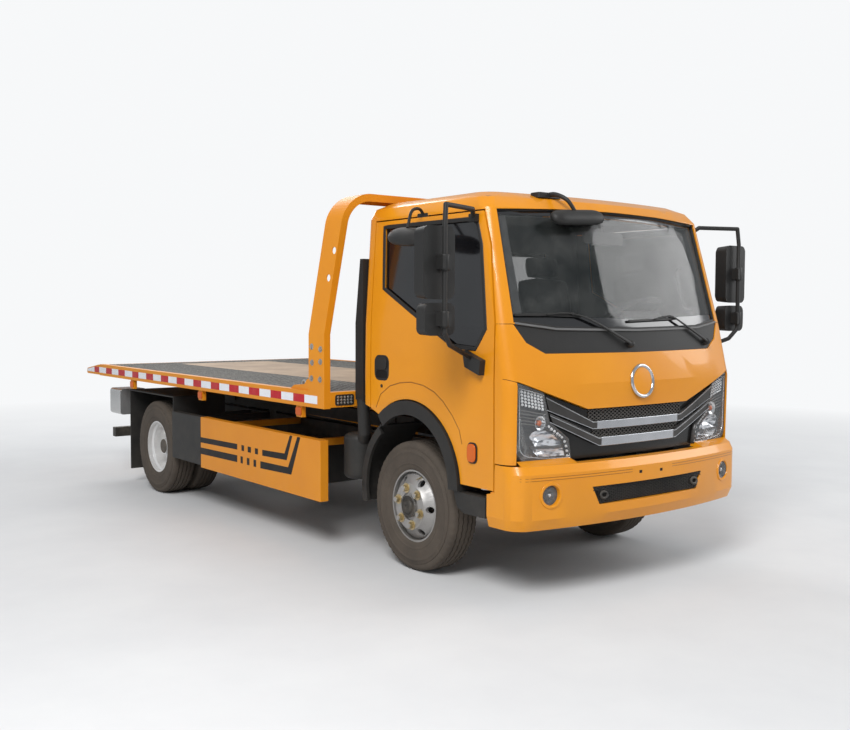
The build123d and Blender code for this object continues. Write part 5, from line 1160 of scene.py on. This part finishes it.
# Wipers
WIPERS = (
    ("right", ((-838, 1528), (-640, 1528), (-417, 1521)), ((-650, 1528), (-484, 1532), (-340, 1487), (-81, 1366))),
    ("left", ((-66, 1493), (150, 1500), (372, 1507)), ((150, 1500), (305, 1517), (430, 1470), (668, 1366))),
)
for side, blade, arm in WIPERS:
    place(front_strip("wiper_rubber_" + side, FRONT, blade, 5, 10, 0.5), "chassis", "black_plastic")
    holder = front_strip("wiper_blade_" + side, FRONT, blade, 17, 8, 10)
    place(holder, "chassis", "black_plastic", 2.0)
    path = smooth_path([on_front(FRONT, x, z, 25) for x, z in arm], 5)
    sizes = [5.5 + 6.5 * max(0.0, (i - 5) / (len(path) - 6)) for i in range(len(path))]
    place(tube("wiper_arm_" + side, path, sizes, 12, flatten=0.62), "chassis", "black_plastic", angle=60)
    hub, lean = met_front(FRONT, *arm[-1])
    cap = turned("wiper_pivot_" + side, [(-3, 0.5), (-3, 21), (20, 20), (30, 17), (37, 9), (39, 0.5)], hub, lean, 28)
    place(cap, "chassis", "black_plastic", angle=50)
    hinge = on_front(FRONT, *arm[1], 17)
    place(turned("wiper_clip_" + side, [(-8, 0.5), (-8, 9), (10, 9), (12, 6), (12, 0.5)], hinge, lean, 16),
          "chassis", "black_plastic", angle=40)

# Doors: handle, lock, crease, marker lamp
# Part of the handle, its outline and corner, how far it stands out, finish
HANDLE = (
    ("plate", (150, 1128, 300, 1282, 46), 2, "black_plastic"),
    ("flap", (166, 1196, 284, 1268, 26), 10, "black_plastic"),
    # The pocket is a darker black than the plate: partly its black plastic, partly painted shade of the hollow behind
    # the flap
    ("pocket", (166, 1142, 284, 1190, 20), 3, "film_black"),
)
CREASE = ((285, 960), (238, 1042), (140, 1100), (36, 1125), (-70, 1135), (-189, 1123), (-290, 1092), (-370, 1044),
          (-452, 972), (-513, 898), (-537, 821))
for side, sign in SIDES:
    door, tree = "door_" + side, DOORS[side]
    middle, _ = met_side(tree, sign, 225, 1205)
    for part, (y0, z0, y1, z1, corner), stand, finish in HANDLE:
        piece = slab("handle_%s_%s" % (part, side), rounded(F + y0, z0, F + y1, z1, corner), "x", -4, stand)
        for vertex in piece.data.vertices:
            vertex.co.x = vertex.co.x * sign + middle.x * MM
        place(tidy(piece), door, "black_plastic", 1.8, finish=finish)
    hit, _ = met_side(tree, sign, 225, 1095)
    keyhole = turned("door_lock_" + side, [(-2, 0.5), (-2, 11), (3, 10), (4, 7), (2.5, 0.5)], hit, (sign, 0, 0), 24)
    place(keyhole, door, "black_plastic", angle=40)
    # The door crease is coloured a darker amber: painted shade along the crease
    crease = side_strip("door_crease_" + side, tree, sign, CREASE, 7, 2.0, -0.5, step=30)
    place(crease, door, "cab_paint", 0.6, 60, finish="amber_shade")
    hit, _ = met_side(tree, sign, -626, 783)
    outline = rounded(F - 667, 726, F - 585, 841, 30)
    base = slab("marker_base_" + side, outline, "x", hit.x - sign * 1, hit.x + sign * 4)
    place(base, door, "black_plastic", 1.0)
    outline = rounded(F - 660, 733, F - 592, 834, 27)
    glow = slab("marker_lens_" + side, outline, "x", hit.x + sign * 3.6, hit.x + sign * 15)
    place(glow, door, "lamp_glass", 5.0, finish="amber_lens")

# Mirrors: housings' glasses, clamps on the arm, then the small round mirrors
MIRROR_PARTS = (("bezel", 0, 30, -6, 5, "black_plastic"), ("glass", 8, 24, 3, 6.5, "mirror_glass"))
MIRROR_HALF = 86
CLAMP = ((-42, 12), (-42, 21), (-38, 24), (38, 24), (42, 21), (42, 12))
for side, sign in SIDES:
    tree = search_tree("mirror_" + side)
    for name, low, high in (("tall", 1628, 1967), ("wide", 1442, 1574)):
        face, _ = met(tree, (sign * 1240, 0, (low + high) / 2), (0, -1, 0))
        for part, inset, corner, near, far, finish in MIRROR_PARTS:
            outline = rounded(inset - MIRROR_HALF, low + inset, MIRROR_HALF - inset, high - inset, corner)
            piece = slab("mirror_%s_%s_%s" % (part, name, side), outline, "y", face.y + near, face.y + far)
            for vertex in piece.data.vertices:
                vertex.co.x += sign * 1238 * MM
            place(piece, "door_" + side, "black_plastic", 1.5, finish=finish)
for side, sign in SIDES:
    clamps = [turned("clamp", CLAMP, (sign * 1235, F - 750, z), (0, 0, 1), 28) for z in (1797, 1508)]
    place(joined("mirror_clamps_" + side, clamps), "door_" + side, "black_plastic", 1.5, 40)


def lens_body(name, start, end, thick, flatten, body, full=3.2):
    """Rounded mirror case along a line, thickest in the middle."""
    start, reach, steps = Vector(start), Vector(end) - Vector(start), 24
    line = [start + reach * k / steps for k in range(steps + 1)]
    sizes = [thick * max(0.16, 1 - abs(2 * k / steps - 1) ** full) ** 0.5 for k in range(steps + 1)]
    place(tube(name, line, sizes, 20, flatten=flatten), body, "black_plastic", angle=60)


kerb_line = smooth_path([(-884, F - 120, 2092), (-930, F - 135, 2132), (-1020, F - 180, 2110),
                         (-1088, F - 235, 2010)], 6)
place(tube("kerb_mirror_arm", kerb_line, 9, 12), "door_right", "black_plastic", angle=60)
foot = slab("kerb_mirror_foot", rounded(F - 172, 2072, F - 68, 2112, 10), "x", -897, -884)
place(foot, "door_right", "black_plastic", 2.5)
lens_body("kerb_mirror", (-1098, F - 392, 1944), (-1098, F - 85, 1978), 62, 0.62, "door_right")
look_line = smooth_path([(-430, F - 650, 2198), (-426, F - 720, 2200), (-404, F - 790, 2166),
                         (-372, F - 820, 2104)], 6)
thinning = [15 - 5 * k / (len(look_line) - 1) for k in range(len(look_line))]
look_arm = tube("look_down_arm", look_line, thinning, 14)
place(look_arm, "chassis", "black_plastic", angle=60)
foot = slab("look_down_foot", rounded(-520, F - 690, -346, F - 610, 18), "z", 2180, 2212)
place(foot, "chassis", "black_plastic", 4.0)
lens_body("look_down_mirror", (-544, F - 818, 2060), (-151, F - 818, 2082), 50, 0.72, "chassis", 7.0)
case = slab("inside_mirror", rounded(-182, 1937, 152, 2013, 26), "y", F - 712, F - 690)
place(case, "chassis", "trim_grey", 8.0)
plate = slab("inside_mirror_glass", rounded(-174, 1944, 144, 2006, 22), "y", F - 690.5, F - 687)
place(plate, "chassis", "trim_grey", 1.0, finish="mirror_glass")
stalk = smooth_path([(-15, F - 700, 2010), (-15, F - 690, 2050), (-15, F - 660, 2090), (-15, F - 640, 2150)], 5)
place(tube("inside_mirror_stalk", stalk, 8, 12), "chassis", "trim_grey", angle=60)

# Seats: crowned cushions with sewn channels

def pad(name, size, crown, channels):
    """Cushion about its own middle: soft corners, sides drawn in, channels across."""
    wide, deep, thick = size
    shape = bmesh.new()
    bmesh.ops.create_cube(shape, size=2.0)
    bmesh.ops.subdivide_edges(shape, edges=shape.edges, cuts=19, use_grid_fill=True)
    for vertex in shape.verts:
        u, v, w = vertex.co
        flat = max(abs(u), abs(v))
        draw = 1 - 0.035 * (1 - min(1.0, 1.6 * abs(abs(u) - 0.5) + 0.2))
        round_u = u * math.sqrt(max(0.0, 1 - 0.16 * v * v - 0.12 * w * w))
        round_v = v * math.sqrt(max(0.0, 1 - 0.16 * u * u - 0.12 * w * w))
        height = w * (1 - 0.30 * flat ** 6) * (1 + crown * (1 - u * u) * (1 - v * v) * (0.5 + 0.5 * w))
        sewn = [(abs(v - line) / 0.06, 0.14) for line in channels]
        sewn += [(abs(u - line) / 0.05, 0.16) for line in (-0.62, 0.62)]
        for near, sunk in sewn:
            if near < 1 and w > 0:
                height -= sunk * (1 - near * near) ** 2 * w
        seam = abs(w) / 0.12
        tuck = 1 - (0.018 * (1 - seam * seam) ** 2 if seam < 1 else 0.0)
        vertex.co = Vector((round_u * wide / 2 * tuck * draw, round_v * deep / 2 * tuck, height * thick / 2)) * MM
    bmesh.ops.recalc_face_normals(shape, faces=shape.faces)
    return written(object_of(name, bpy.data.meshes.new(name)), shape)


def set_down(piece, lean, spot):
    piece.data.transform(Matrix.Translation(Vector(spot) * MM) @ Matrix.Rotation(math.radians(lean), 4, "X"))
    return piece


# Seat, its middle and its width
for name, x, wide in (("passenger", -430, 500), ("driver", 430, 462)):
    cushion = set_down(pad(name + "_cushion", (wide, 455, 132), 0.16, (-0.3, 0.3)), 2, (x, F - 102, 1214))
    place(cushion, "chassis", "seat_fabric", angle=80, stands_for=("seats",))
    back = set_down(pad(name + "_back", (wide - 10, 490, 112), 0.22, (-0.35, 0.1, 0.5)), 80, (x, F + 216, 1532))
    place(back, "chassis", "seat_fabric", angle=80)
    rest = set_down(pad(name + "_headrest", (270, 140, 84), 0.2, ()), 80, (x, F + 262, 1846))
    place(rest, "chassis", "seat_fabric", angle=80)
    for shift in (-60, 60):
        post = tube("%s_headrest_post_%s" % (name, "a" if shift < 0 else "b"),
                    [(x + shift, F + 250, 1750), (x + shift, F + 260, 1800)], 6, 12)
        place(post, "chassis", "chrome_trim", angle=60)
    outline = rounded(x - wide / 2 + 30, F - 300, x + wide / 2 - 30, F + 170, 30)
    base = slab(name + "_seat_base", outline, "z", 1056, 1158)
    place(base, "chassis", "trim_grey", 6.0)
    rails = [slab("rail", rounded(x + shift - 16, F - 300, x + shift + 16, F + 200, 4), "z", 1055.5, 1068)
             for shift in (-150, 150)]
    place(joined(name + "_seat_rails", rails), "chassis", "frame_paint", 1.5)

# Cab fittings: instrument hood, vents, levers, pedals, grab handles, visors
hood = slab("instrument_hood", [(F - 700, 1490), (F - 650, 1552), (F - 598, 1556), (F - 610, 1470)], "x", 285, 575)
place(hood, "chassis", "trim_grey", 14.0, 30, 4)
dials = []
for x, r in ((355, 44), (430, 30), (505, 44)):
    profile = [(0, 0.5), (0, r), (5, r), (5, r - 4), (2, r - 5), (2, 0.5)]
    dials.append(turned("dial", profile, (x, F - 606, 1512), (0, 1, -0.14), 36))
place(joined("instrument_dials", dials), "chassis", "gloss_black", angle=40)
vents = [slab("vent", rounded(x - 62, z - 26, x + 62, z + 26, 12), "y", F - 640, F - 606)
         for x, z in ((-760, 1400), (-90, 1420), (90, 1420), (760, 1400))]
place(joined("dash_vents", vents), "chassis", "gloss_black", 3.0)
lever = smooth_path([(120, F - 470, 1040), (122, F - 462, 1150), (118, F - 440, 1270), (116, F - 430, 1340)], 5)
place(tube("gear_lever", lever, 9, 12), "chassis", "frame_paint", angle=60)
knob = tube("gear_knob", [(116, F - 430, 1330 + 6 * k) for k in range(9)], [8, 16, 21, 24, 25, 24, 21, 15, 6], 16)
place(knob, "chassis", "gloss_black", angle=80)
gaiter = [(-20, 1), (-20, 78), (0, 70), (8, 60), (16, 62), (26, 48), (34, 50), (46, 34), (56, 36), (72, 18), (92, 11),
          (92, 1)]
place(turned("gear_gaiter", gaiter, (121, F - 468, 1050), (0, 0.1, 1), 32), "chassis", "floor_mat", angle=50)
for name, x, tall in (("clutch", 300, 0), ("brake", 400, 0), ("throttle", 520, 30)):
    stem = smooth_path([(x, F - 800, 1180), (x, F - 770, 1060), (x, F - 742, 960), (x, F - 730, 905)], 4)
    place(tube(name + "_stem", stem, 8, 10), "chassis", "frame_paint", angle=60)
    shoe = slab(name + "_pedal", rounded(x - 34, 868 - tall, x + 34, 930 + tall, 10), "y", F - 736, F - 718)
    place(shoe, "chassis", "floor_mat", 3.0)
for side, sign in SIDES:
    grip = smooth_path([(sign * 846, F - 690, 1560), (sign * 820, F - 640, 1580), (sign * 812, F - 612, 1690),
                        (sign * 806, F - 590, 1800), (sign * 826, F - 610, 1830)], 6)
    place(tube("grab_handle_" + side, grip, 11, 14), "chassis", "trim_grey", angle=60)
    outline = rounded(sign * 430 - 260, F - 640, sign * 430 + 260, F - 470, 30)
    visor = cut_finer(slab("sun_visor_" + side, outline, "z", 2118, 2136), 80)
    for vertex in visor.data.vertices:
        vertex.co.z += (vertex.co.y - (F - 640) * MM) * 0.2
    place(visor, "chassis", "trim_grey", 5.0)

# Wheels: treaded tyres, nuts, hubs and valves

TREAD_PITCHES, PITCH_STEPS = 54, 4
GROOVES = (-50, -17, 17, 50)
GROOVE_DEEP = 9


def tread_profile(turn):
    """Section of a tyre, (across, radius), at a fraction of a tread pitch."""
    wander = 3.4 * (2 * abs(2 * turn - 1) - 1)
    cut = 5.0 if turn < 0.24 else 0.0
    wall = [(-62, 214), (-84, 216), (-92, 226), (-94, 240), (-96.5, 252), (-98.2, 253.5), (-98.2, 258), (-97, 259.5),
            (-99, 280), (-99.8, 300), (-99, 318), (-99.9, 319.5), (-99.3, 325), (-98, 326.5), (-96, 344),
            (-92.5, 345), (-94, 360 - cut * 0.4), (-90, 376 - cut), (-80, 384.5 - cut), (-66, 386.6)]
    tread = []
    for middle in GROOVES:
        m = middle + wander
        crown = 388 - (abs(middle) / 100) ** 2 * 4
        tread += [(m - 4.6, crown), (m - 2.6, crown - GROOVE_DEEP), (m + 2.6, crown - GROOVE_DEEP), (m + 4.6, crown)]
    return [*wall, *tread, *mirrored(wall[::-1])]


def tyre(name, centre):
    steps = TREAD_PITCHES * PITCH_STEPS
    points = []
    for k, turn in enumerate(circle(steps)):
        ring = tread_profile((k % PITCH_STEPS) / PITCH_STEPS + 0.01)
        points += [(centre[0] + a, centre[1] + r * math.cos(turn), centre[2] + r * math.sin(turn)) for a, r in ring]
    return tidy(mesh_piece(name, points, ring_faces(steps, len(ring), True)))


def met_straight(tree, sign, y, z):
    """How far out a wheel reaches at (y, z)."""
    hit, _, _, _ = tree.ray_cast(Vector((sign * 2.0, y * MM, z * MM)), Vector((-sign, 0, 0)))
    return abs(hit.x) / MM if hit is not None else 0.0


NUT_CIRCLE = 111
VALVE_TURN = 1.9  # where the valve stands round the wheel
HUB_CAPS = {
    "front": ((-21, 0.5), (-21, 66), (1, 66), (3, 63), (3, 54), (1, 50), (1, 44), (9, 41), (13, 34), (14, 14), (9, 12),
              (9, 0.5)),
    "rear": ((0, 0.5), (0, 58), (3, 60), (8, 56), (10, 40), (12, 0.5)),
}


def round_axle(y, turn, radius):
    """Place (y, z) at an angle and a radius about an axle."""
    return y + radius * math.cos(turn), AXLE_Z + radius * math.sin(turn)


for side, sign in SIDES:
    front = tyre("tyre_front_%s_tread" % side, (sign * 780, F, AXLE_Z))
    place(front, "wheel_front_" + side, "tyre_rubber", angle=38, stands_for=("tyre_front_" + side,))
    pair = joined("tyres_rear_%s_tread" % side, [tyre("one", (sign * x, REAR, AXLE_Z)) for x in (745, 975)])
    place(pair, "wheel_rear_" + side, "tyre_rubber", angle=38, stands_for=("tyres_rear_" + side,))
    for end, y, rim in (("front", F, "rim_front_"), ("rear", REAR, "rims_rear_")):
        disc = search_tree(rim + side)
        wheel = "wheel_%s_%s" % (end, side)
        turns = [math.radians(15 + 60 * k) for k in range(6)]
        foot = min(met_straight(disc, sign, *round_axle(y, t + 0.5, NUT_CIRCLE)) for t in turns)
        spots = [(sign * foot, *round_axle(y, t, NUT_CIRCLE)) for t in turns]
        bolts("nuts_%s_%s" % (end, side), wheel, "rim_steel", side, 33, 25, spots, "nut_gold")
        reach = met_straight(disc, sign, y, AXLE_Z) - (0.5 if end == "front" else 0)
        cap = turned("hub_cap_%s_%s" % (end, side), HUB_CAPS[end], (sign * reach, y, AXLE_Z), (sign, 0, 0), 40)
        # The front hub cap takes the black frame paint: painted shade of the deep opening round the hub
        if end == "front":
            place(cap, wheel, "axle_iron", 1.5, 40, finish="frame_paint")
        else:
            place(cap, wheel, "axle_iron", angle=40)
        reach = met_straight(disc, sign, *round_axle(y, VALVE_TURN, 186))
        stem = [(sign * (reach + out), *round_axle(y, VALVE_TURN, r)) for out, r in ((-6, 190), (12, 184), (34, 176))]
        valve = tube("valve_%s_%s" % (end, side), stem, [5, 4.2, 3.4], 12)
        place(valve, wheel, "rim_steel", angle=60, finish="nut_gold")

# Rear lamps, and reflecting tape on the underrun bar
TAIL_CELLS = (("red", 846, 914), ("amber", 920, 988), ("pale", 994, 1066))
for side, sign in SIDES:
    outline = rounded(sign * 838, 640, sign * 1074, 776, 18)
    place(slab("tail_lamp_body_" + side, outline, "y", 2539, 2552), "chassis", "black_plastic", 2.0)
    for colour, near, far in TAIL_CELLS:
        outline = rounded(sign * near, 650, sign * far, 766, 10)
        cell = slab("tail_lens_%s_%s" % (colour, side), outline, "y", 2551, 2562)
        place(cell, "chassis", "lamp_glass", 4.0, finish=colour + "_lens")
for finish, first in (("tape_red", 1), ("tape_white", 0)):
    bands = [slab("band", rectangle(x + 1, 388, x + 149, 438), "y", 2539.5, 2540.8)
             for x in range(-1050 + 150 * first, 1050, 300)]
    place(joined("rear_bar_" + finish, bands), "chassis", "frame_paint", finish=finish)

# Winch: wire rope in turns on the drum
ROPE_TURNS, ROPE_WIDE = 22, 11
coil = [(-122, 52)]
for k in range(ROPE_TURNS):
    middle = -115.5 + ROPE_WIDE * k
    coil += [(middle + 5.5 * math.cos(math.pi * (1 - j / 6)), 61 + 7.5 * math.sin(math.pi * j / 6)) for j in range(7)]
coil += [(122, 52)]
rope = turned("winch_rope", coil, (0, F + 820, 1185), (1, 0, 0), 48)
place(rope, "winch_drum", "winch_steel", angle=50, finish="rope_steel")

# Straps round the fuel tank and the battery box, tank cap

def girdle(name, node, y):
    """Flat strap round a tank or a box at a station."""
    low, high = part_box(node)
    middle = Vector(((low.x + high.x) / 2, y * MM, (low.z + high.z) / 2))
    tree = search_tree(node)
    hits = []
    for turn in circle(72):
        out = Vector((math.cos(turn), 0, math.sin(turn)))
        hit, _, _, _ = tree.ray_cast(middle + out * 2, -out)
        if hit is not None:
            hits.append((hit / MM, out))
    return place(laid(name, hits, 46, 3.0, -0.5, True), "chassis", "frame_paint", finish="bolt_zinc")


for name, node, y in (("tank_strap_front", "fuel_tank", -560), ("tank_strap_rear", "fuel_tank", 40),
                      ("battery_strap", "battery_box", -460)):
    girdle(name, node, y)
cap = turned("tank_cap", [(-3, 0.5), (-3, 46), (14, 46), (17, 43), (30, 43), (33, 40), (34, 12), (38, 10), (38, 0.5)],
             (760, -660, 619), (0, 0, 1), 40)
place(cap, "chassis", "black_plastic", angle=40)


# Floor, light and camera

BACKDROP = (0.93, 0.94, 0.95, 1.0)


def lay_floor():
    """Pale floor that fades into the backdrop."""
    floor_paint = Paint("studio_floor", Roughness=0.9)
    shade = floor_paint.noise(1.2, 6.0, 0.6).rise(0.3, 0.7)
    floor_paint.feed("Base Color", floor_paint.mix(shade, (0.66, 0.66, 0.66), (0.61, 0.61, 0.615)))
    x, y, _ = floor_paint.axes()
    far = (x * x + y * y).root().rise(4.2, 10.5)
    glow = floor_paint.add("ShaderNodeEmission", None, {"Color": BACKDROP})
    fade = far * floor_paint.seen_straight()
    both = floor_paint.add("ShaderNodeMixShader", None, {0: fade, 1: floor_paint.surface, 2: glow})
    floor_paint.tree.links.new(both.socket, floor_paint.out.inputs[0])
    reach = 40000
    corners = [(x, y, 0) for x, y in rectangle(-reach, -reach, reach, reach)]
    floor = mesh_piece("studio_floor", corners, [(0, 1, 2, 3)])
    floor.data.materials.append(floor_paint.material)


def hang_backdrop():
    """Soft light all round, and a pale ground for the eye."""
    scene = bpy.context.scene
    scene.world = bpy.data.worlds.new("studio")
    scene.world.use_nodes = True
    around = Nodes()
    around.tree = scene.world.node_tree
    around.tree.nodes.clear()
    soft = around.add("ShaderNodeBackground", None, {"Color": (0.92, 0.96, 1.0, 1.0), "Strength": 0.52})
    seen = around.add("ShaderNodeBackground", None, {"Color": BACKDROP, "Strength": 1.0})
    both = around.add("ShaderNodeMixShader", None, {0: around.seen_straight(), 1: soft, 2: seen})
    around.add("ShaderNodeOutputWorld", None, {"Surface": both})


# Lamp, its place, what it shines at, its size in metres and its power
STUDIO_LAMPS = (
    ("key", (-7.5, -7.0, 8.5), (0.0, -0.5, 0.8), 5.0, 1150.0),
    ("fill", (8.0, -6.5, 5.0), (0.0, -0.5, 1.0), 6.0, 380.0),
    ("back", (2.0, 9.0, 7.0), (0.0, 0.0, 1.0), 6.0, 420.0),
)


def light_lamps():
    for name, spot, target, size, power in STUDIO_LAMPS:
        lamp = bpy.data.lights.new(name, "AREA")
        lamp.shape = "DISK"
        lamp.size = size
        lamp.energy = power
        holder = object_of(name, lamp)
        holder.location = spot
        holder.rotation_euler = (Vector(target) - Vector(spot)).to_track_quat("-Z", "Y").to_euler()


def set_camera():
    yaw, pitch, roll = math.radians(-37.58), math.radians(3.15), math.radians(0.22)
    back = Vector((math.sin(yaw) * math.cos(pitch), -math.cos(yaw) * math.cos(pitch), math.sin(pitch)))
    right = Vector((math.cos(yaw), math.sin(yaw), 0.0))
    up = back.cross(right)
    level = right * math.cos(roll) + up * math.sin(roll)
    head = up * math.cos(roll) - right * math.sin(roll)
    lens = bpy.data.cameras.new("camera")
    lens.lens = 42.60
    lens.sensor_width = 36.0
    lens.clip_end = 200.0
    camera = object_of("camera", lens)
    turn = Matrix((level, head, back)).transposed().to_4x4()
    camera.matrix_world = Matrix.Translation((-4.440, -6.613, 1.557)) @ turn
    scene = bpy.context.scene
    scene.camera = camera
    scene.view_settings.view_transform = "Standard"


lay_floor()
hang_backdrop()
light_lamps()
set_camera()
